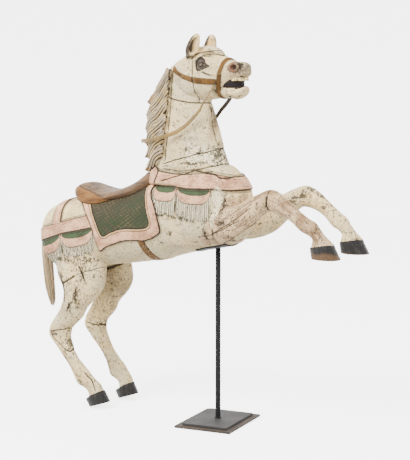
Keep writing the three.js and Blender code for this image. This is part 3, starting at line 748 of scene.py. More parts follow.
def carve_face(carving):
    """Lids, nostrils, cheeks, lips and the hollows of the ears."""
    x, y, z = carving.points.T
    wide = np.abs(y)
    blocks = carving.blocks
    face = rise(blocks["head"], -1, 2) * rise(wide, 20, 34)
    eye = inside(x, z, curve_round(EYE_OUTLINE))
    px, pz, pupil_long, pupil_high = PUPIL
    pupil = np.hypot((x - px) / pupil_long, (z - pz) / pupil_high)
    lids = 3.2 * np.exp(-((eye + 3) / 3.2)**2) - 4.2 * rise(eye, -1, 4) + 4.5 * rise(1.0 - pupil, 0, 0.8)
    brow = 2.0 * np.exp(-(inside(x, z, BROW) / 6)**2)
    (nx, _, nz), (nose_long, _, nose_high) = NOSTRIL
    nostril = np.hypot((x - nx) / nose_long, (z - nz) / nose_high)
    nose = 1.8 * np.exp(-((nostril - 1.25) / 0.2)**2)
    cx, cz, reach = CHEEK
    cheek = np.hypot(x - cx, z - cz) / reach
    muscle = 4.5 * rise(1 - cheek, 0, 0.35)
    upper_lip, lower_lip = beside(x, z, UPPER_LIP), beside(x, z, LOWER_LIP)
    lips = 2.2 * np.exp(-((upper_lip - 5) / 4)**2) + 2.0 * np.exp(-((lower_lip + 5) / 4)**2)
    lips *= rise(x, 48, 70)
    bone = 3.0 * np.exp(-(beside(x, z, CHEEK_BONE) / 7)**2) * rise(x, -14, 0) * rise(78 - x, 0, 20)
    height = face * (lids + brow + nose + muscle + lips + bone)
    carving.push(height)
    hollow = rise(4.0 - carving.gap_to(both(EAR_HOLLOW, sides=28, rows=20)), 0, 3.0)
    # Level faces inside the mouth are painted black as well, as paint and as painted shade.
    back, low, high, half = MOUTH_SPACE
    within = (x > back) & (z > low) & (z < high) & (wide < half)
    level = np.abs(carving.normals[:, 2]) > 0.75
    mouth = np.maximum(blocks["mouth"], np.where(within & level, 6, -6))
    sidewise = np.where((blocks["head"] > -3) & (wide > 16), 0, -40)
    carving.fields.update({
        "eye": np.clip(eye, -30, 30) + sidewise,
        "pupil": np.clip(10 * (1 - pupil), -20, 10) + sidewise,
        "nostril": np.clip(10 * (1 - nostril), -20, 10) + sidewise,
        "mouth": np.clip(mouth, -20, 20),
        "ear_hollow": np.where(blocks["ear"] > -2, hollow, 0),
    })


def carve_wear(carving):
    """Gouge marks, block joints, flaked patches and the grain of bare wood."""
    points = carving.points
    x, y, z = points.T
    blocks = carving.blocks
    body = np.maximum.reduce([blocks[k] for k in ("trunk", "neck", "head", "front_leg", "hind_leg")])
    wood = rise(body, -1, 1)
    seam = np.full(len(x), 40.0)
    width = np.ones(len(x))
    for line, wide, on_side in SEAMS:
        side = np.where(on_side * y < 0, 40, beside(x, z, line))
        nearer = np.abs(side) < np.abs(seam)
        seam = np.where(nearer, side, seam)
        width = np.where(nearer, wide, width)
    seam = seam + 1.2 * soft_noise(points, 14, 3)
    off_cloth = rise(-carving.fields["blanket"], -1, 1)
    height = -1.1 * wood * off_cloth * width * np.exp(-(seam / (1.0 + width))**2)
    gesso = np.full(len(x), -40.0)
    for outline in GESSO:
        gesso = np.maximum(gesso, inside(x, z, curve_round(outline)))
    gesso = np.clip(gesso, -40, 40) + 9 * soft_noise(points, 16, 5) + 5 * soft_noise(points, 7, 6)
    gesso += np.where(body > -2, 0, -60)
    flaked, stains_and_shade = np.zeros(len(x)), np.zeros(len(x))
    for at_x, at_z, half_x, half_z, on_side in FLAKED:
        spot = np.exp(-((x - at_x) / half_x)**2 - ((z - at_z) / half_z)**2)
        flaked = np.maximum(flaked, np.where(on_side * y < 0, 0, spot))
    # Stains, and the painted shade under the chest and belly and over the far thigh.
    for at_x, at_z, half_x, half_z, share, on_side in STAINS_AND_SHADE:
        spot = share * np.exp(-((x - at_x) / half_x)**2 - ((z - at_z) / half_z)**2)
        stains_and_shade = np.maximum(stains_and_shade, np.where(on_side * y < 0, 0, spot))
    bare = np.where(y < 0, inside(x, z, curve_round(BARE_SHOULDER)), -40)
    bare = np.clip(bare, -40, 40) + 10 * soft_noise(points, 22, 8) + np.where(body > -2, 0, -60)
    height -= 0.7 * wood * rise(gesso, -1, 1)
    height -= 0.6 * wood * rise(bare, -1, 1)
    grain = points.copy()
    for name, table in (("front_leg", FRONT_LEG), ("hind_leg", HIND_LEG)):
        on = np.flatnonzero(blocks[name] > -6)
        for part in np.array_split(on, 1 + len(on) // 20000):
            if len(part):
                grain[part] = along_leg(points[part], table)
    streak = soft_noise(grain * (0.12, 1, 1), 6, 9)
    height += 0.9 * wood * rise(bare, -2, 4) * streak
    height += wood * (0.9 * soft_noise(points, 38, 1) + 0.45 * soft_noise(points, 15, 2))
    hoof = rise(blocks["hoof"], -1, 1)
    height += hoof * (1.2 * np.exp(-((blocks["hoof"] - 2) / 3)**2) + 0.35 * soft_noise(points, 9, 11))
    saddle = rise(blocks["saddle"], -1, 1)
    height += saddle * 2.6 * np.exp(-((blocks["saddle"] - 8) / 5)**2)
    carving.push(height)
    near_seam = rise(12 - np.abs(seam), 0, 4)
    carving.fields.update({
        "seam": np.stack([np.clip(seam, -20, 20), near_seam, width], 1),
        "gesso": gesso,
        "flaked": flaked,
        "stains_and_shade": stains_and_shade,
        "bare": bare,
        "grain": grain * MM,
        "saddle": np.clip(blocks["saddle"], -20, 20),
        "mane": np.clip(blocks["mane"], -20, 20),
        "forelock": np.clip(blocks["forelock"], -20, 20),
        "ear": np.clip(blocks["ear"], -20, 20),
        "hoof": np.clip(blocks["hoof"], -20, 20),
        "leg": np.clip(np.maximum(blocks["front_leg"], blocks["hind_leg"]), -20, 20),
    })


def carved_horse(finish):
    """The whole horse, carved in the order of a carver: harness, mane, face, then the wear."""
    carving = Carving()
    carve_harness(carving)
    carve_mane(carving)
    carve_face(carving)
    carve_wear(carving)
    return piece("carved_horse", carving.finished(), finish, "painted_wood", "horse")


# Materials: a wire is a node's output socket, and Python's own operators add the maths nodes.
class Wire:
    def __init__(self, finish, socket):
        self.finish = finish
        self.socket = socket

    def maths(self, operation, first, second=0.0):
        return self.finish.node("ShaderNodeMath", {"operation": operation}, {0: first, 1: second})

    def __add__(self, other):
        return self.maths("ADD", self, other)

    def __sub__(self, other):
        return self.maths("SUBTRACT", self, other)

    def __rsub__(self, other):
        return self.maths("SUBTRACT", other, self)

    def __mul__(self, other):
        return self.maths("MULTIPLY", self, other)

    def __abs__(self):
        return self.maths("ABSOLUTE", self)

    def __neg__(self):
        return self * -1.0

    __radd__ = __add__
    __rmul__ = __mul__

    def sine(self):
        return self.maths("SINE", self)

    def most(self, other):
        return self.maths("MAXIMUM", self, other)

    def least(self, other):
        return self.maths("MINIMUM", self, other)

    def near(self, middle, half, soft):
        """1 on a line about this middle value, out to half of it at either side, with soft edges."""
        return (half - abs(self - middle)).rise(0, soft)

    def rise(self, low, high):
        """From 0 below low to 1 above high."""
        return self.finish.node("ShaderNodeMapRange", {"interpolation_type": "SMOOTHSTEP"},
                                {0: self, 1: low, 2: high, 3: 0.0, 4: 1.0})


def tone(red, green, blue):
    """A colour as a painter names it, from 0 to 255, in the shader's own linear values."""
    def linear(value):
        value /= 255
        return value / 12.92 if value <= 0.04045 else ((value + 0.055) / 1.055)**2.4
    return (linear(red), linear(green), linear(blue), 1.0)


class Finish:
    """One material. What changes over the surface is wired in, and the rest is set on its shader."""

    def __init__(self, name, constants):
        self.material = bpy.data.materials.new(name)
        self.material.use_nodes = True
        self.tree = self.material.node_tree
        self.tree.nodes.clear()
        output = self.tree.nodes.new("ShaderNodeOutputMaterial")
        self.shader = self.tree.nodes.new("ShaderNodeBsdfPrincipled")
        self.tree.links.new(self.shader.outputs[0], output.inputs[0])
        for socket, value in constants.items():
            self.shader.inputs[socket].default_value = value
        self.place = self.node("ShaderNodeTexCoord", output="Object")

    def node(self, kind, settings=None, sockets=None, output=0):
        """Adds any node: its settings first, then the values or wires of its sockets."""
        made = self.tree.nodes.new(kind)
        for name, value in (settings or {}).items():
            setattr(made, name, value)
        for key, value in (sockets or {}).items():
            if isinstance(value, Wire):
                self.tree.links.new(value.socket, made.inputs[key])
            else:
                made.inputs[key].default_value = value
        return Wire(self, made.outputs[output])

    def field(self, name):
        return self.node("ShaderNodeAttribute", {"attribute_name": name}, output="Fac")

    def parts_of(self, vector):
        """The x, y and z of a place or of a field of vectors."""
        return [self.node("ShaderNodeSeparateXYZ", {}, {0: vector}, output=i) for i in range(3)]

    def noise(self, scale, detail=3.0, rough=0.55, place=None, warp=0.0):
        return self.node("ShaderNodeTexNoise", {}, {
            "Vector": place or self.place, "Scale": scale, "Detail": detail, "Roughness": rough,
            "Distortion": warp})

    def stretched(self, scale, turn=(0.0, 0.0, 0.0), place=None):
        """The place first turned and then scaled."""
        return self.node("ShaderNodeMapping", {"vector_type": "TEXTURE"}, {
            "Vector": place or self.place, "Scale": tuple(1 / value for value in scale),
            "Rotation": tuple(math.radians(a) for a in turn)})

    def mix(self, share, first, second):
        """From the first colour to the second one."""
        return self.node("ShaderNodeMix", {"data_type": "RGBA"}, {0: share, 6: first, 7: second}, output=2)

    def set(self, colour, roughness=None, height=None, depth=1.0):
        """Wires what varies to the shader, with the height as a bump this deep in millimetres."""
        for socket, wire in (("Base Color", colour), ("Roughness", roughness)):
            if wire is not None:
                self.tree.links.new(wire.socket, self.shader.inputs[socket])
        if height is not None:
            bump = self.node("ShaderNodeBump", {}, {"Height": height, "Distance": depth * MM,
                                                    "Strength": 1.0}, output="Normal")
            self.tree.links.new(bump.socket, self.shader.inputs["Normal"])
        return self.material


# Blender's view of the scene: its mix of the three colours, its range in stops and its soft curve.
VIEW_MIX = np.array([[0.84248, 0.07843, 0.07922], [0.04233, 0.87847, 0.07917], [0.04238, 0.07843, 0.87914]])
VIEW_STOPS = (-12.474, 4.026)
VIEW_CURVE = (15.5, -40.14, 31.96, -6.868, 0.4298, 0.1191, -0.00232)
ROOM_LIGHT = 2.25
WARM_TURN = 0.08


def seen(red, green, blue):
    """The paint that looks like this colour, from 0 to 255, once the room lights it.

    Blender's curve turns warm colours a little towards pink, so they start out yellower.
    """
    green += WARM_TURN * (red - green)
    blue -= WARM_TURN * (red - blue)
    shown = np.array(tone(red, green, blue)[:3]) ** (1 / 2.2)
    stops = np.linspace(0, 1, 400)
    stops = np.interp(VIEW_MIX @ shown, np.polyval(VIEW_CURVE, stops), stops)
    low, high = VIEW_STOPS
    light = np.linalg.solve(VIEW_MIX, 2 ** (low + (high - low) * stops))
    paint = light / ROOM_LIGHT
    return (*np.maximum(paint / max(1, paint.max() / 0.88), 0.003).tolist(), 1.0)


CREAM = seen(234, 226, 209)
CREAM_WARM = seen(214, 200, 172)
CREAM_GREY = seen(216, 209, 193)
GRIME = seen(122, 106, 82)
STAIN_AND_SHADE_BROWN = seen(140, 120, 98)
STAIN_OLIVE = seen(150, 138, 112)
GESSO_WHITE = seen(238, 235, 227)
BARE_WOOD = seen(214, 196, 178)
WOOD_STREAK = seen(160, 128, 104)
WOOD_ORANGE = seen(170, 130, 96)
DARK = seen(42, 32, 26)
LINE = seen(74, 57, 45)
BLANKET_GREEN = seen(64, 84, 46)
BLANKET_BROWN = seen(86, 76, 58)
SCRATCH = seen(170, 154, 120)
PINK = seen(220, 198, 182)
PINK_DEEP = seen(204, 172, 154)
SCALLOP_GREEN = seen(100, 122, 84)
GOLD = seen(204, 186, 146)
FRINGE_WHITE = seen(216, 211, 198)
FRINGE_GREY = seen(150, 146, 138)
GIRTH_BROWN = seen(158, 118, 78)
SADDLE_BROWN = seen(168, 122, 78)
SADDLE_GREY = seen(150, 128, 112)
SADDLE_DARK = seen(98, 70, 54)
SADDLE_RUBBED = seen(184, 150, 118)
BRIDLE_BROWN = seen(156, 114, 68)
BRIDLE_DARK = seen(124, 86, 50)
HOOF_BLACK = seen(40, 38, 36)
HOOF_GREY = seen(96, 88, 82)
HOOF_WORN = seen(146, 114, 88)
MANE_CREAM = seen(200, 190, 175)
MANE_GROOVE = seen(66, 52, 40)
MANE_TIP = seen(176, 136, 84)
EAR_CREAM = seen(222, 200, 160)
EAR_DARK = seen(96, 76, 64)
EYE_DARK = seen(48, 40, 36)
EYE_GREY = seen(98, 80, 72)
MUZZLE = seen(150, 124, 112)
NOSTRIL_RED = seen(158, 104, 92)
NOSTRIL_DARK = seen(92, 54, 48)
MOUTH_BLACK = seen(26, 16, 15)
REIN_TAN = (seen(178, 148, 88), seen(146, 118, 68))
REIN_SHADED = (seen(92, 72, 58), seen(66, 52, 44))
HAIR_PALE = seen(224, 214, 198)
HAIR_DARK = seen(92, 80, 68)
HAIR_DUSTY = seen(150, 136, 118)
TOOTH_CREAM = seen(232, 224, 200)
TOOTH_STAIN = seen(186, 164, 124)
BLACK_STEEL = (seen(20, 20, 21), seen(36, 36, 37))
BROWN_STEEL = (seen(112, 98, 90), seen(84, 74, 68))
DULL_STEEL = (seen(98, 95, 93), seen(74, 72, 71))
NAIL_IRON = (seen(60, 52, 46), seen(100, 76, 56))
STEEL_DUST = seen(112, 104, 96)
# How fine the scratches are: along the rod, and every way on the plates.
ROD_SCRATCHES = (300.0, 300.0, 12.0)
PLATE_SCRATCHES = (60.0, 60.0, 60.0)


class HorsePaint(Finish):
    """Old cream paint over white ground, worn and flaked, with the harness painted on."""

    def __init__(self):
        super().__init__("aged_horse_paint", {"Specular IOR Level": 0.12})
        self.x, self.y, self.z = self.parts_of(self.place)
        self.cloud = self.noise(4.5, 4)
        self.blotch = self.noise(11, 5, 0.65)
        self.mottle = self.noise(26, 5, 0.6)
        self.grit = self.noise(110, 4, 0.7)
        self.speck = self.noise(230, 3, 0.65)
        self.ragged = (self.mottle - 0.5) * 4 + (self.grit - 0.5) * 5
        self.hollow = self.field("hollow")
        self.flaked = self.field("flaked")
        self.stains_and_shade = self.field("stains_and_shade")

    def edge_of(self, name, wander):
        """How far inside a painted shape a point is, with the edge worn ragged by this much."""
        return self.field(name) + self.ragged * wander

    def cream_coat(self):
        """The cream paint, clouded, spotted with stains and greyed with grime, with painted shade under the
        chest and belly, over the far thigh and towards the underside.
        """
        mix, mottle, grit = self.mix, self.mottle, self.grit
        colour = mix(self.cloud.rise(0.4, 0.6), CREAM, CREAM_GREY)
        colour = mix(self.blotch.rise(0.46, 0.66) * 0.6, colour, CREAM_WARM)
        colour = mix(mottle.rise(0.5, 0.7) * 0.22, colour, STAIN_OLIVE)
        colour = mix(grit.rise(0.53, 0.72) * 0.38, colour, GRIME)
        rump = (-self.x - 0.42).rise(0.0, 0.04) * (self.z - 0.8).rise(0.0, 0.05)
        colour = mix(rump * (0.25 + mottle.rise(0.42, 0.6) * 0.5), colour, STAIN_OLIVE)
        colour = mix(self.speck.rise(0.57, 0.68) * 0.4, colour, GRIME)
        # Painted shade: warmer and darker towards the underside.
        belly = (0.72 - self.z).rise(0.0, 0.14) * 0.3
        colour = mix(belly * mottle.rise(0.3, 0.7), colour, CREAM_WARM)
        # Stains, with the painted shade under the chest and belly and over the far thigh.
        soiled_and_shaded = self.stains_and_shade * (0.55 + mottle) + (grit - 0.5) * self.stains_and_shade
        return mix(soiled_and_shaded.rise(0.08, 0.9), colour, STAIN_AND_SHADE_BROWN)

    def bare_wood(self, colour):
        """The stripped foreleg, with its streaks along the grain."""
        mix, stains_and_shade = self.mix, self.stains_and_shade
        self.bare = self.edge_of("bare", 1).rise(-1.5, 1.5)
        grain = self.node("ShaderNodeAttribute", {"attribute_name": "grain"}, output="Vector")
        streak = self.noise(1, 5, 0.6, self.stretched((7, 80, 80), place=grain))
        self.fine_streak = self.noise(1, 5, 0.7, self.stretched((11, 200, 200), place=grain))
        wood = mix(streak.rise(0.48, 0.66) * 0.7, BARE_WOOD, WOOD_STREAK)
        wood = mix(self.fine_streak.rise(0.545, 0.62) * 0.8, wood, LINE)
        wood = mix(self.blotch.rise(0.5, 0.62) * 0.3, wood, WOOD_ORANGE)
        wood = mix(self.mottle.rise(0.54, 0.64) * 0.6, wood, CREAM)
        wood = mix((stains_and_shade * (0.1 + streak * 1.5)).rise(0.2, 0.95) * 0.8, wood, WOOD_ORANGE)
        wood = mix(self.flaked * 0.6, wood, STAIN_AND_SHADE_BROWN)
        return mix(self.bare * (0.55 + streak * 0.6).least(1.0), colour, wood)

    def pink_paint(self):
        pink = self.mix(self.mottle.rise(0.4, 0.66), PINK, PINK_DEEP)
        pink = self.mix(self.grit.rise(0.56, 0.7) * 0.5, pink, CREAM_GREY)
        return self.mix(self.speck.rise(0.58, 0.63) * 0.85, pink, LINE)

    def blanket_green(self):
        """A green field, browner at its upper back, with crossing scratches."""
        mix, x, z, mottle, blotch = self.mix, self.x, self.z, self.mottle, self.blotch
        rising = self.noise(1, 3, 0.6, self.stretched((16, 16, 150), (0, 38, 0)), 0.2)
        falling = self.noise(1, 3, 0.6, self.stretched((16, 16, 150), (0, -34, 0)), 0.2)
        self.weave = rising.rise(0.52, 0.58).most(falling.rise(0.53, 0.59))
        brown_share = (z * 1.2 - x * 0.55 - 1.17).rise(-0.1, 0.1) * 0.6 + (blotch - 0.5) * 1.2
        green = mix(brown_share.rise(0, 0.8), BLANKET_GREEN, BLANKET_BROWN)
        green = mix(self.weave * 0.8, green, BLANKET_BROWN)
        wander = (mottle + self.cloud * 4) * 4
        up = (z * 400 - x * 250 + wander).sine().rise(0.84, 0.98) * rising.rise(0.4, 0.56)
        down = (z * 370 + x * 270 - wander).sine().rise(0.86, 0.98) * falling.rise(0.42, 0.58)
        green = mix(up.most(down) * (0.1 + blotch.rise(0.4, 0.6) * 0.45), green, SCRATCH)
        return mix(self.speck.rise(0.58, 0.66) * 0.6, green, DARK)

    def blanket(self, colour, pink):
        """The green field in a pink border, with a dark, a gold and another dark line round it."""
        blanket = self.edge_of("blanket", 0.3)
        field = self.field("blanket_field")
        self.cloth_on = blanket.rise(-1.2, 0.2)
        self.field_on = field.rise(-0.5, 0.5)
        cloth = self.mix(self.field_on, pink, self.blanket_green())
        for line, share, paint in ((field.near(-1.5, 3.4, 1.2), 1.0, DARK),
                                   (field.near(-7.0, 2.4, 1.0), 0.85, GOLD),
                                   (field.near(-11.5, 2.2, 1.0), 0.8, LINE),
                                   (blanket.near(2.0, 4.4, 1.8), 1.0, LINE)):
            cloth = self.mix(line * share, cloth, paint)
        return self.mix(self.cloth_on, colour, cloth)

    def fringe(self, colour):
        """Hanging threads, pale and grey, that end in dark tips."""
        mix, mottle = self.mix, self.mottle
        fringe = self.edge_of("fringe", 0.9)
        stroke = self.node("ShaderNodeTexWave",
                           {"wave_type": "BANDS", "bands_direction": "X", "wave_profile": "SIN"},
                           {"Vector": self.stretched((1, 1, 0.12)), "Scale": 36.0, "Distortion": 1.6,
                            "Detail": 2.0, "Detail Scale": 5.0}, output="Fac")
        hair = mix(stroke.rise(0.2, 0.6), FRINGE_GREY, FRINGE_WHITE)
        hair = mix((0.3 - stroke).rise(0, 0.2) * 0.9, hair, LINE)
        hair = mix((9 - fringe).rise(0, 7) * mottle.rise(0.45, 0.56) * 0.9, hair, DARK)
        self.threads = fringe.rise(-1, 1) * stroke
        return mix(fringe.rise(-0.6, 0.6) * (0.55 + self.grit.rise(0.3, 0.5) * 0.45), colour, hair)

    def harness(self, colour):
        """Fringe, scallops, girth and bands, a brown strip round the bands that is partly painted shadow,
        and the blanket over them.
        """
        mix, mottle, grit = self.mix, self.mottle, self.grit
        pink = self.pink_paint()
        self.band = self.field("band").most(self.field("strap")) + self.ragged * 0.35
        self.pink_scallop = self.edge_of("pink_scallop", 0.5)
        girth = self.edge_of("girth", 0.4)
        green_scallop = self.edge_of("green_scallop", 0.4)
        colour = self.fringe(colour)
        colour = mix(self.pink_scallop.near(-1.0, 3.2, 1.4) * 0.9, colour, LINE)
        colour = mix(self.pink_scallop.rise(-0.5, 0.5), colour, pink)
        scallop = mix(mottle.rise(0.45, 0.7) * 0.6, SCALLOP_GREEN, BLANKET_BROWN)
        scallop = mix(grit.rise(0.56, 0.7) * 0.5, scallop, DARK)
        colour = mix(green_scallop.rise(-0.5, 0.5), colour, scallop)
        colour = mix(green_scallop.near(0.0, 1.2, 1.0) * 0.5, colour, LINE)
        leather = mix(mottle.rise(0.45, 0.65) * 0.5, GIRTH_BROWN, LINE)
        leather = mix(girth.near(2.5, 2.2, 1.2), leather, DARK)
        colour = mix(girth.rise(-0.5, 0.5), colour, leather)
        # A brown strip 8 mm wide all round the bands: their brown edges, and partly painted shadow under
        # them.
        colour = mix((self.band + 8).rise(-1, 1) * 0.4, colour, BLANKET_BROWN)
        colour = mix(self.band.near(-8.0, 1.8, 1.0) * 0.7, colour, LINE)
        colour = mix(self.band.rise(-0.5, 0.5), colour, pink)
        colour = mix(self.band.near(0.6, 4.0, 1.8) * 0.95, colour, LINE)
        colour = mix(self.band.near(11.0, 1.5, 1.0) * 0.6 * mottle.rise(0.4, 0.5), colour, LINE)
        return self.blanket(colour, pink)

    def face(self, colour):
        """Grey muzzle, tan bridle, red nostrils, dark eyes, and the black of the mouth, which is black paint
        and painted shade of its recess.
        """
        mix, mottle, grit = self.mix, self.mottle, self.grit
        muzzle = (self.x - 0.05).rise(0.0, 0.05) * (self.z - 1.325).rise(0, 0.02)
        colour = mix(muzzle * (grit.rise(0.4, 0.6) * 0.55 + mottle.rise(0.4, 0.6) * 0.35), colour, MUZZLE)
        bridle = self.edge_of("bridle", 0.25)
        strap = mix(mottle.rise(0.4, 0.6), BRIDLE_BROWN, BRIDLE_DARK)
        strap = mix(bridle.near(0.3, 2.2, 1.4) * 0.9, strap, LINE)
        colour = mix(bridle.near(-1.0, 1.2, 1.0) * 0.6, colour, LINE)
        colour = mix(bridle.rise(-0.5, 0.5), colour, strap)
        nostril = self.edge_of("nostril", 0.25)
        colour = mix(nostril.rise(-10.5, -8.0) * 0.7, colour, NOSTRIL_DARK)
        colour = mix(nostril.rise(-6.5, -4.5), colour, NOSTRIL_RED)
        colour = mix(nostril.rise(2.0, 5.0), colour, NOSTRIL_DARK)
        eye = self.edge_of("eye", 0.5)
        self.eye_on = eye.rise(-1, 1)
        colour = mix(eye.rise(-2.0, -0.2), colour, EYE_DARK)
        colour = mix(eye.rise(3.0, 5.5) * 0.75, colour, EYE_GREY)
        pupil = self.field("pupil")
        colour = mix(pupil.rise(1.5, 3.5) * (5.5 - pupil).rise(0, 1), colour, EYE_DARK)
        # Inside the mouth all is black: black paint, and painted shade of the recess.
        self.mouth_on = self.field("mouth").rise(-1.2, 0.4)
        return mix(self.mouth_on, colour, MOUTH_BLACK)

    def ears(self, colour):
        mix, mottle = self.mix, self.mottle
        ear = mix(mottle.rise(0.4, 0.6), EAR_CREAM, CREAM)
        ear = mix(self.field("ear_hollow") * 0.6, ear, CREAM_WARM)
        # The back of the ear is dark brown: partly paint, and partly painted shade on its rear edge.
        back = (-self.x - 0.07 + (self.z - 1.45) * 0.2).rise(0.0, 0.012)
        ear = mix(back * mottle.rise(0.2, 0.45), ear, EAR_DARK)
        ear = mix((self.hollow - 1.5).rise(0, 2.5) * 0.35, ear, EAR_DARK)
        return mix(self.field("ear").rise(-1, 1), colour, ear)

    def mane(self, colour):
        """Cream locks with dark grooves and ochre tips, and the greyer forelock."""
        mix, mottle, hollow = self.mix, self.mottle, self.hollow
        self.mane_on = self.field("mane").rise(-1, 1)
        mane = mix(mottle.rise(0.45, 0.65), MANE_CREAM, CREAM_WARM)
        mane = mix(self.grit.rise(0.5, 0.7) * 0.5, mane, GRIME)
        groove = (0.56 - self.field("mane_strand") + (mottle - 0.5) * 0.5).rise(0, 0.36)
        mane = mix(groove * 0.95, mane, MANE_GROOVE)
        mane = mix((hollow - 0.9).rise(0, 1.4) * 0.95, mane, MANE_GROOVE)
        tip = self.field("mane_tip").rise(0.6, 0.95)
        mane = mix(tip * mottle.rise(0.4, 0.55) * 0.85, mane, MANE_TIP)
        colour = mix(self.mane_on, colour, mane)
        forelock = mix((hollow - 0.1).rise(0, 0.8) * 0.9, CREAM_GREY, MANE_GROOVE)
        forelock = mix(mottle.rise(0.45, 0.6) * 0.6, forelock, GRIME)
        return mix(self.field("forelock").rise(-1, 1), colour, forelock)

    def saddle(self, colour):
        """A brown seat, greyer above the dividing line, rubbed pale and edged dark."""
        mix = self.mix
        field = self.field("saddle")
        self.saddle_on = field.rise(-0.6, 0.6)
        split = self.z + self.x * 0.25 - 0.738 + (self.mottle - 0.5) * 0.01
        rubbed = self.noise(1, 5, 0.65, self.stretched((10, 30, 60), (0, -12, 0)))
        saddle = mix(split.rise(-0.004, 0.004), SADDLE_BROWN, SADDLE_GREY)
        saddle = mix(rubbed.rise(0.45, 0.65) * 0.6, saddle, SADDLE_RUBBED)
        saddle = mix((0.5 - rubbed).rise(0, 0.12) * 0.6, saddle, SADDLE_DARK)
        saddle = mix(self.grit.rise(0.52, 0.7) * 0.5, saddle, SADDLE_DARK)
        saddle = mix(split.near(0.0, 0.0028, 0.002) * 0.85, saddle, SADDLE_DARK)
        saddle = mix(field.near(1.0, 3.0, 2.0), saddle, SADDLE_DARK)
        return mix(self.saddle_on, colour, saddle)

    def hooves(self, colour):
        """Black hooves with ridges. The front ones are worn to brown at their lower edge."""
        mix, grit = self.mix, self.grit
        self.hoof_on = self.field("hoof").rise(-0.5, 0.5)
        ridges = self.noise(1, 4, 0.65, self.stretched((90, 90, 14)))
        hoof = mix(ridges.rise(0.5, 0.66) * 0.5 + grit.rise(0.5, 0.66) * 0.4, HOOF_BLACK, HOOF_GREY)
        far_less = self.y.rise(0.0, 0.01) * 0.02
        worn_edge = (0.722 - far_less - self.z + (self.mottle - 0.5) * 0.03).rise(0.0, 0.014)
        hoof = mix(worn_edge * (self.z - 0.5).rise(0, 0.05) * (0.45 + grit * 0.6), hoof, HOOF_WORN)
        hoof = mix(self.speck.rise(0.54, 0.66) * 0.7, hoof, DARK)
        return mix(self.hoof_on, colour, hoof)

    def white_ground(self, colour):
        """Patches where the white ground shows, speckled dark, and their broken edges."""
        edge = self.edge_of("gesso", 1.3)
        self.gesso = edge.rise(-1.0, 1.0) * (1 - self.cloth_on)
        self.gesso_edge = edge.near(0.0, 2.6, 2.0) * self.blotch.rise(0.42, 0.55)
        ground = self.mix(self.grit.rise(0.45, 0.6) * 0.4, GESSO_WHITE, CREAM)
        ground = self.mix(self.noise(130, 4, 0.7).rise(0.55, 0.59) * 0.9, ground, LINE)
        return self.mix(self.gesso * 0.9, colour, ground)

    def flakes(self, colour, plain):
        """Chips down to dark wood, each with a pale rim, thicker on the legs and where placed."""
        flaked, speck, cloth_on, mouth_on = self.flaked, self.speck, self.cloth_on, self.mouth_on
        cluster = self.noise(7, 3, 0.6).rise(0.5, 0.66)
        dashes = self.noise(1, 4, 0.65, self.stretched((170, 170, 60)))
        legs = self.field("leg").rise(-4, 4)
        chips = self.noise(85, 5, 0.74) + flaked * 0.17 + cluster * 0.02 + legs * 0.012
        flake = chips.rise(0.605, 0.625).most((speck + flaked * 0.06 + cluster * 0.03).rise(0.64, 0.67))
        flake = flake.most((dashes + legs * 0.04 + cluster * 0.02 + flaked * 0.04).rise(0.63, 0.66) * 0.85)
        harness = self.band.most(self.pink_scallop).most(self.field("bridle")).rise(-1, 1).most(mouth_on)
        flake = flake.most(self.gesso_edge * 0.9) * plain * (1 - cloth_on * 0.8)
        self.flake = flake * (1 - harness * 0.6) * (1 - mouth_on)
        halo = (chips.rise(0.575, 0.6) - self.flake).rise(0, 1) * plain * (1 - cloth_on) * (1 - harness)
        colour = self.mix(halo * 0.45, colour, GESSO_WHITE)
        return self.mix(self.flake * 0.88, colour, self.mix(self.grit.rise(0.45, 0.55), LINE, DARK))

    def dark_lines(self, colour):
        """The open joints between the blocks of wood, the painted lines, and the painted shade in the crease
        of the far thigh.
        """
        seam = self.node("ShaderNodeAttribute", {"attribute_name": "seam"}, output="Vector")
        side, close, width = self.parts_of(seam)
        dark_line = (width * 1.35 + (self.mottle - 0.5) * 4 - abs(side)).rise(-0.5, 1.0) * close
        self.dark_line = dark_line * (1 - self.hoof_on) * (1 - self.saddle_on) * (1 - self.cloth_on)
        return self.mix(self.dark_line * 0.9, colour, DARK)

    def hollows_and_ridges(self, colour, plain):
        """Darker in the hollows and paler on the ridges, by how deep the surface lies."""
        hollows_and_ridges = (self.hollow - 0.35).rise(0.0, 2.4) * (0.35 + self.mottle * 0.9)
        colour = self.mix(hollows_and_ridges * plain * 0.85, colour, GRIME)
        rubbed = (-self.hollow - 0.8).rise(0.0, 3.0) * self.mottle.rise(0.35, 0.6) * 0.3
        return self.mix(rubbed * plain * (1 - self.cloth_on), colour, CREAM)

    def painted(self):
        """The layers in the order in which they were painted and worn."""
        colour = self.bare_wood(self.cream_coat())
        for layer in (self.harness, self.face, self.ears, self.mane, self.saddle, self.hooves):
            colour = layer(colour)
        plain = (1 - self.hoof_on) * (1 - self.saddle_on) * (1 - self.mane_on * 0.8)
        colour = self.flakes(self.white_ground(colour), plain)
        colour = self.hollows_and_ridges(self.dark_lines(colour), plain)
        roughness = (0.6 + self.mottle * 0.2 + self.gesso * 0.12 - self.hoof_on * 0.2
                     - self.saddle_on * 0.16 - self.eye_on * 0.2 + self.flake * 0.15)
        height = (self.grit * 0.35 + self.mottle * 0.4 - self.flake * 1.0 - self.dark_line * 1.1
                  - self.gesso * (1 - self.bare) * 0.5 - self.bare * (0.3 + self.fine_streak * 0.9)
                  + self.saddle_on * self.noise(300, 2) * 0.15
                  + self.weave * self.cloth_on * self.field_on * 0.35 + self.threads * 0.6)
        return self.set(colour, roughness, height=height, depth=1.0)


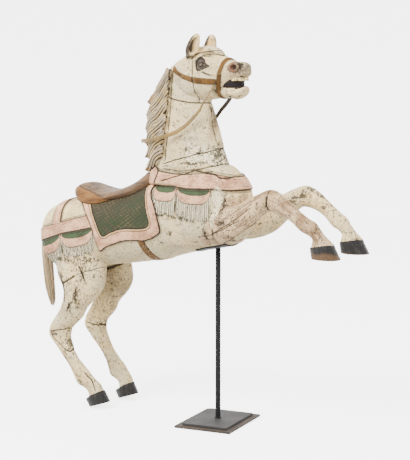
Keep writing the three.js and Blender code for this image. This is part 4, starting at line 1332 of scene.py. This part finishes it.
def steel(name, colours, metallic, roughness, scratches=ROD_SCRATCHES):
    """Blackened or browned steel, with scratches, dull clouds and a few rubbed spots."""
    metal = Finish(name, {"Metallic": metallic, "Specular IOR Level": 0.1})
    colour, edge = colours
    cloud = metal.noise(9, 4)
    scratch = metal.noise(1, 4, 0.7, metal.stretched(scratches))
    dust = metal.noise(160, 3, 0.6)
    shade = metal.mix(cloud.rise(0.35, 0.7) * 0.6, colour, edge)
    shade = metal.mix(scratch.rise(0.6, 0.72) * 0.3, shade, edge)
    shade = metal.mix(dust.rise(0.62, 0.75) * 0.08, shade, STEEL_DUST)
    return metal.set(shade, roughness + cloud * 0.18 - scratch.rise(0.6, 0.72) * 0.12,
                     height=scratch * 0.3 + dust * 0.1, depth=0.02)


def rein_leather():
    """A tan strap with a grained face, darker with painted shade where it runs behind the neck and along the
    far side.
    """
    leather = Finish("rein_leather", {"Specular IOR Level": 0.4})
    turn = leather.field("strap_turn")
    grain = leather.noise(420, 4, 0.65)
    cloud = leather.noise(22, 4)
    tan = leather.mix(cloud.rise(0.35, 0.65), *REIN_TAN)
    # The same leather in painted shade, where the strap runs behind the neck and along the far side.
    brown = leather.mix(cloud.rise(0.35, 0.65), *REIN_SHADED)
    shade = leather.mix(turn.rise(0.42, 0.5), tan, brown)
    shade = leather.mix(grain.rise(0.55, 0.75) * 0.35, shade, LINE)
    return leather.set(shade, 0.5 + cloud * 0.25, height=grain * 0.5 + cloud * 0.5, depth=0.4)


def tail_hair():
    """Dry grey and cream horsehair, each hair with its own shade."""
    hair = Finish("tail_horsehair", {"Specular IOR Level": 0.3})
    shade = hair.field("hair_shade")
    along = hair.noise(1, 3, 0.6, hair.stretched((700, 700, 18)))
    colour = hair.mix(shade, HAIR_PALE, HAIR_DARK)
    colour = hair.mix(along.rise(0.45, 0.65) * 0.35, colour, HAIR_DUSTY)
    return hair.set(colour, 0.62 + along * 0.2, height=along, depth=0.2)


def tooth_paint():
    """Cream paint on the teeth, stained in places."""
    enamel = Finish("tooth_paint", {"Specular IOR Level": 0.45})
    stain = enamel.noise(90, 4)
    colour = enamel.mix(stain.rise(0.42, 0.62), TOOTH_CREAM, TOOTH_STAIN)
    return enamel.set(colour, 0.35 + stain * 0.25, height=stain, depth=0.3)


def hung_tail(finish):
    """A bundle of hairs that leave a socket in the rump and hang in a loose fall."""
    hairs, rings, sides = ((300, 20, 5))
    draw = np.random.RandomState(21)
    table = np.array(TAIL, float)
    points, faces, shades, start = [], [], [], 0
    ring_angle = 2 * np.pi * np.arange(sides) / sides
    for _ in range(hairs):
        spread, turn = math.sqrt(draw.uniform(0, 1)), draw.uniform(0, 2 * math.pi)
        reach = draw.uniform(0.5, 0.99) ** 0.8
        t = np.linspace(0, reach, rings + 1)
        ring = spline(table, t)
        wobble = draw.uniform(0, 6.28, 2)
        swing = draw.uniform(0.3, 1.0) * 2.2
        across = spread * np.clip(1.02 - 0.1 * t, 0, 1)
        x = (ring[:, 0] + ring[:, 2]) / 2 + (ring[:, 2] - ring[:, 0]) / 2 * across * math.cos(turn)
        z = (ring[:, 1] + ring[:, 3]) / 2 + (ring[:, 3] - ring[:, 1]) / 2 * across * math.cos(turn)
        y = ring[:, 4] * across * math.sin(turn)
        x = x + swing * t * np.sin(7 * t + wobble[0])
        y = y + swing * t * np.sin(6 * t + wobble[1])
        radius = draw.uniform(1.0, 1.7) * (1 - 0.8 * (t / reach) ** 3)
        body = np.stack([x[:, None] + radius[:, None] * np.cos(ring_angle),
                         y[:, None] + radius[:, None] * np.sin(ring_angle),
                         np.repeat(z[:, None], sides, 1)], 2).reshape(-1, 3)
        ends = [[x[i], y[i], z[i]] for i in (0, -1)]
        body = np.vstack([body, ends])
        points.append(body)
        faces += [tuple(start + c for c in face) for face in tube_faces(rings, sides)]
        shades.append(np.full(len(body), draw.uniform(0, 1) ** 1.2))
        start += len(body)
    mesh = mesh_of("tail_hairs", np.vstack(points), faces)
    keep_field(mesh, "hair_shade", np.concatenate(shades))
    return piece("tail_hairs", mesh, finish, "horsehair", "horsehair_tail")


# The strap's own line, from the right corner of the mouth round the mane to the left one.
REIN_POINTS = [
    (22, -60, 1302), (8, -60, 1284), (-11, -60, 1257), (-27, -61, 1237), (-44, -64, 1208),
    (-66, -71, 1182), (-90, -80, 1157), (-121, -90, 1134), (-152, -101, 1119), (-182, -112, 1109),
    (-216, -114, 1101), (-258, -104, 1094), (-300, -82, 1090), (-333, -50, 1088), (-347, 0, 1087),
    (-333, 50, 1088), (-300, 82, 1090), (-258, 104, 1094), (-220, 114, 1101), (-186, 113, 1109),
    (-154, 106, 1121), (-121, 98, 1140), (-90, 92, 1165), (-66, 86, 1188), (-44, 81, 1210),
    (-18, 76, 1232), (5, 72, 1256), (20, 66, 1282), (23, 61, 1301),
]
REIN_WIDTH = 15
REIN_THICK = 3
REIN_ROWS = 200


def looped_rein(finish):
    """A flat strap. Its face lies on edge at the mouth and turns out towards the mane."""
    t = np.linspace(0, 1, REIN_ROWS + 1)
    path = spline(REIN_POINTS, t)
    run = np.gradient(path, axis=0)
    run /= np.linalg.norm(run, axis=1)[:, None]
    up = np.array([0.0, 0.0, 1.0])
    wide = up - (run @ up)[:, None] * run
    wide /= np.linalg.norm(wide, axis=1)[:, None]
    out = np.cross(run, wide)
    edge_on = np.radians(58) * (1 - rise(t, 0.05, 0.33) + 0.35 * rise(t, 0.72, 0.95))
    across = np.cos(edge_on)[:, None] * wide + np.sin(edge_on)[:, None] * out
    thick = np.cross(across, run)
    half, deep, bevel = REIN_WIDTH / 2, REIN_THICK / 2, 0.8
    section = [(-half, -deep + bevel), (-half + bevel, -deep), (0, -deep), (half - bevel, -deep),
               (half, -deep + bevel), (half, deep - bevel), (half - bevel, deep), (0, deep + 0.3),
               (-half + bevel, deep), (-half, deep - bevel)]
    section = np.array(section)
    points = (path[:, None] + section[None, :, :1] * across[:, None] + section[None, :, 1:] * thick[:, None])
    points = np.vstack([points.reshape(-1, 3), path[0], path[-1]])
    mesh = mesh_of("rein_strap", points, tube_faces(REIN_ROWS, len(section)))
    turn = np.concatenate([np.repeat(t, len(section)), [0, 1]])
    keep_field(mesh, "strap_turn", turn)
    strap = piece("rein_strap", mesh, finish, "rein_leather", "reins")
    path[0] * MM
    path * MM
    return strap


TEETH = 11
TEETH_ARC = (84, 1328, 46, 32)
TOOTH = (8, 11, 13)
TOOTH_FORM = ((-0.5, 0.82), (-0.42, 1.0), (0.38, 1.0), (0.5, 0.8))


def set_teeth(finish):
    """The row of teeth along the arc of the muzzle, with their edges eased."""
    skins = []
    x0, z0, long, wide = TEETH_ARC
    deep, across, high = TOOTH
    for i in range(TEETH):
        angle = math.pi * ((i + 0.5) / TEETH - 0.5)
        table = [[-deep / 2 * full, z0 + high * level, deep / 2 * full, z0 + high * level,
                  across / 2 * full, 0] for level, full in TOOTH_FORM]
        points, faces = loft(table, 16, 10, 5)
        x, y, z = points.T
        c, s = math.cos(angle), math.sin(angle)
        skins.append((np.stack([x0 + long * c + x * c - y * s, wide * s + x * s + y * c, z], 1), faces))
    points, faces = stacked(skins)
    return piece("painted_teeth", mesh_of("painted_teeth", points, faces), finish, "painted_wood")


# The stand, with the sizes that the solids have.
LOWER_PLATE = (232, 304, 8)
UPPER_PLATE_MARGIN = 23
BASE_TURN_DEG = 11
ROD_RADIUS = 10
CRADLE_ALONG = (-72, 70)
CRADLE_HALF = 50
CRADLE_THICK = 5
CRADLE_BEVEL = 1.2
CRADLE_ROWS = 36
CRADLE_COLUMNS = 24
FIT_GAP = 0.3
WELD = (4.0, 4.5)
WELD_TOP = 6
ROD_ROWS = 8
PLATE_BEVEL = 1.2
PLATE_CORNER = 3
NAIL_DOME = 2.5


def turned_profile(profile, sides):
    """A round solid about the z axis, from (radius, height) pairs, bottom first."""
    angle = 2 * np.pi * np.arange(sides) / sides
    points = np.array([[r * math.cos(a), r * math.sin(a), h] for r, h in profile for a in angle])
    ends = [[0, 0, profile[0][1]], [0, 0, profile[-1][1]]]
    return np.vstack([points, ends]), tube_faces(len(profile) - 1, sides)


def standing_rod(finish):
    """The round rod, with a small weld at its foot."""
    low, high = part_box("rod")
    foot, top = low.z / MM, high.z / MM
    out, up = WELD
    weld = [(ROD_RADIUS + out * math.cos(a) ** 2, foot + up * math.sin(a)) for a in np.linspace(0, 1.5, 6)]
    start = foot + WELD_TOP
    length = top - foot - 9
    profile = [(ROD_RADIUS + out, foot)] + weld + [(ROD_RADIUS, start)]
    profile += [(ROD_RADIUS, start + length * k / ROD_ROWS) for k in range(1, ROD_ROWS + 1)]
    points, faces = turned_profile(profile, 48)
    return piece("standing_rod", mesh_of("standing_rod", points, faces), finish, "black_steel", "rod")


def bevelled_plate(name, size, floor, finish, slot, node):
    """A flat plate with ground edges, turned a little against the horse."""
    length, width, thick = size
    turn = math.radians(BASE_TURN_DEG)
    corner_x, corner_y = length / 2 - PLATE_CORNER, width / 2 - PLATE_CORNER
    outline = []
    for cx, cy, first in ((1, 1, 0), (-1, 1, 90), (-1, -1, 180), (1, -1, 270)):
        for step in range(5):
            a = math.radians(first + 22.5 * step)
            outline.append((cx * corner_x + PLATE_CORNER * math.cos(a),
                            cy * corner_y + PLATE_CORNER * math.sin(a)))
    outline = np.array(outline)
    drawn_in = outline * (1 - PLATE_BEVEL / np.hypot(*outline.T))[:, None]
    layers = ((drawn_in, 0), (outline, PLATE_BEVEL), (outline, thick - PLATE_BEVEL), (drawn_in, thick))
    points = []
    for ring, height in layers:
        for px, py in ring:
            points.append((px * math.cos(turn) - py * math.sin(turn),
                           px * math.sin(turn) + py * math.cos(turn), floor + height))
    points += [(0, 0, floor), (0, 0, floor + thick)]
    mesh = mesh_of(name, points, tube_faces(3, len(outline)), smooth=False)
    return piece(name, mesh, finish, slot, node)


def bent_cradle(finish, horse):
    """A steel plate bent to the belly, read off the horse's own underside."""
    corners = [v.co.copy() for v in horse.data.vertices]
    belly = BVHTree.FromPolygons(corners, [tuple(p.vertices) for p in horse.data.polygons])
    rows, columns = CRADLE_ROWS, CRADLE_COLUMNS
    start, end = CRADLE_ALONG
    top = np.zeros((rows + 1, columns + 1, 3))
    for i in range(rows + 1):
        for j in range(columns + 1):
            x = start + (end - start) * i / rows
            y = CRADLE_HALF * (2 * j / columns - 1)
            hit = belly.ray_cast(Vector((x * MM, y * MM, 0.3)), Vector((0, 0, 1)))
            top[i, j] = (x, y, hit[0].z / MM)
    edges = []
    for i in range(rows + 1):
        for j in range(columns + 1):
            here = i * (columns + 1) + j
            if i < rows:
                edges.append((here, here + columns + 1))
            if j < columns:
                edges.append((here, here + 1))
    smooth = relaxed(top.reshape(-1, 3), np.array(edges), 8, 0.5).reshape(top.shape)
    lowest = np.minimum(smooth[..., 2], top[..., 2]) - FIT_GAP - 0.2
    layers = []
    bevel = CRADLE_BEVEL
    for drop, inset in ((0, bevel), (bevel, 0), (CRADLE_THICK - bevel, 0), (CRADLE_THICK, bevel)):
        sheet = top.copy()
        sheet[..., 2] = lowest - drop
        sheet[0, :, 0] += inset
        sheet[-1, :, 0] -= inset
        sheet[:, 0, 1] += inset
        sheet[:, -1, 1] -= inset
        layers.append(sheet)
    rim = ([(0, j) for j in range(columns)] + [(i, columns) for i in range(rows)]
           + [(rows, j) for j in range(columns, 0, -1)] + [(i, 0) for i in range(rows, 0, -1)])
    size = (rows + 1) * (columns + 1)
    points = np.vstack([sheet.reshape(-1, 3) for sheet in layers])
    faces = []
    for i in range(rows):
        for j in range(columns):
            a = i * (columns + 1) + j
            b, c, d = a + 1, a + columns + 2, a + columns + 1
            faces.append((a, b, c, d))
            faces.append((3 * size + a, 3 * size + d, 3 * size + c, 3 * size + b))
    flat_rim = [i * (columns + 1) + j for i, j in rim]
    for layer in range(3):
        above, under = layer * size, (layer + 1) * size
        for a, b in zip(flat_rim, flat_rim[1:] + flat_rim[:1]):
            faces.append((above + b, above + a, under + a, under + b))
    mesh = mesh_of("bent_cradle", points, faces)
    clean = shaped_by(mesh, "WELD", merge_threshold=1e-6)
    return piece("bent_cradle", clean, finish, "black_steel", "cradle")


def domed_nail(name, side, finish):
    """A round-headed iron nail that holds the strap at a corner of the mouth."""
    low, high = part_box(name)
    middle = (low + high) / 2 / MM
    radius = (high.x - low.x) / 2 / MM
    head = [(radius * math.cos(a), NAIL_DOME * math.sin(a)) for a in np.linspace(0, 1.45, 6)]
    points, faces = turned_profile([(radius * 0.5, -9), (radius * 0.5, -1.2), (radius, -1.0)] + head, 24)
    out = (abs(low.y) if side < 0 else high.y) / MM - NAIL_DOME
    corners = np.stack([middle.x + points[:, 0], side * (out + points[:, 2]), middle.z + points[:, 1]], 1)
    return piece(name + "_head", mesh_of(name, corners, faces), finish, "nail_iron", name)


# The room, in metres, and how brightly it glows. The sky goes from its lower to its upper strength.
COVE_FLOOR = 5.5
COVE_BEND = 3.5
COVE_TOP = 5.0
COVE_SIDES = 96
COVE_GLOW = 3.5
SKY = (-0.7, 0.9, 1.15, 2.5)
# Each lamp: its name, place, size and power. Both point at the lit point.
LIT_POINT = (-0.15, 0, 0.8)
LAMPS = (("key", (-1.6, -3.6, 4.6), 2.4, 520), ("fill", (4.5, -2.5, 2.6), 3.0, 90))


def pale_room():
    """A white floor that rises into a round wall, a brighter sky above and a large lamp on the left."""
    profile = [(0.2, 0), (COVE_FLOOR, 0)]
    profile += [(COVE_FLOOR + COVE_BEND * math.sin(a), COVE_BEND * (1 - math.cos(a)))
                for a in np.linspace(0.1, math.pi / 2, 16)]
    profile += [(COVE_FLOOR + COVE_BEND, COVE_TOP)]
    points, faces = turned_profile([(radius / MM, height / MM) for radius, height in profile], COVE_SIDES)
    open_top = faces[:-COVE_SIDES * 2] + faces[-COVE_SIDES * 2::2]
    cove = placed("cove", mesh_of("cove", points, open_top))
    ground = Finish("white_cove", {"Specular IOR Level": 0.0, "Roughness": 1.0,
                                   "Emission Color": tone(255, 255, 255), "Emission Strength": COVE_GLOW})
    paint = ground.mix(ground.noise(1.5, 3) * 0.3, tone(236, 236, 236), tone(233, 233, 233))
    cove.data.materials.append(ground.set(paint))
    cove.visible_diffuse = False
    world = bpy.data.worlds.new("pale_room")
    world.use_nodes = True
    tree = world.node_tree
    place = tree.nodes.new("ShaderNodeTexCoord")
    axes = tree.nodes.new("ShaderNodeSeparateXYZ")
    ramp = tree.nodes.new("ShaderNodeMapRange")
    tree.links.new(place.outputs["Generated"], axes.inputs[0])
    tree.links.new(axes.outputs[2], ramp.inputs[0])
    for socket, value in zip((1, 2, 3, 4), SKY):
        ramp.inputs[socket].default_value = value
    tree.links.new(ramp.outputs[0], tree.nodes["Background"].inputs[1])
    tree.nodes["Background"].inputs[0].default_value = (1.0, 1.0, 1.0, 1)
    bpy.context.scene.world = world
    for name, at, size, power in LAMPS:
        light = bpy.data.lights.new(name, "AREA")
        light.size = size
        light.energy = power
        lamp = placed(name, light)
        lamp.location = at
        lamp.rotation_euler = (Vector(LIT_POINT) - Vector(at)).to_track_quat("-Z", "Y").to_euler()


def photo_camera():
    """The camera with the place, turn and lens of the photograph's."""
    data = bpy.data.cameras.new("photo_camera")
    data.sensor_width = SENSOR
    data.lens = PHOTO_FOCAL * SENSOR / PHOTO_HEIGHT
    camera = placed("photo_camera", data)
    camera.location = CAMERA_AT
    camera.rotation_euler = [math.radians(a) for a in CAMERA_TURN_DEG]
    bpy.context.scene.camera = camera


photo_camera()
looped_rein(rein_leather())
horse = carved_horse(HorsePaint().painted())
set_teeth(tooth_paint())
hung_tail(tail_hair())
black = steel("black_steel", BLACK_STEEL, 0.0, 0.5)
brown = steel("brown_steel", BROWN_STEEL, 0.2, 0.6, PLATE_SCRATCHES)
dark = steel("dark_plate_steel", DULL_STEEL, 0.15, 0.55, PLATE_SCRATCHES)
bent_cradle(black, horse)
standing_rod(black)
length, width, thick = LOWER_PLATE
bevelled_plate("lower_plate", LOWER_PLATE, 0, brown, "brown_steel", "lower_base_plate")
upper_size = (length - 2 * UPPER_PLATE_MARGIN, width - 2 * UPPER_PLATE_MARGIN, thick)
bevelled_plate("upper_plate", upper_size, thick + FIT_GAP, dark, "black_steel", "upper_base_plate")
iron = steel("nail_iron", NAIL_IRON, 0.3, 0.5)
domed_nail("rein_nail_right", -1, iron)
domed_nail("rein_nail_left", 1, iron)
pale_room()
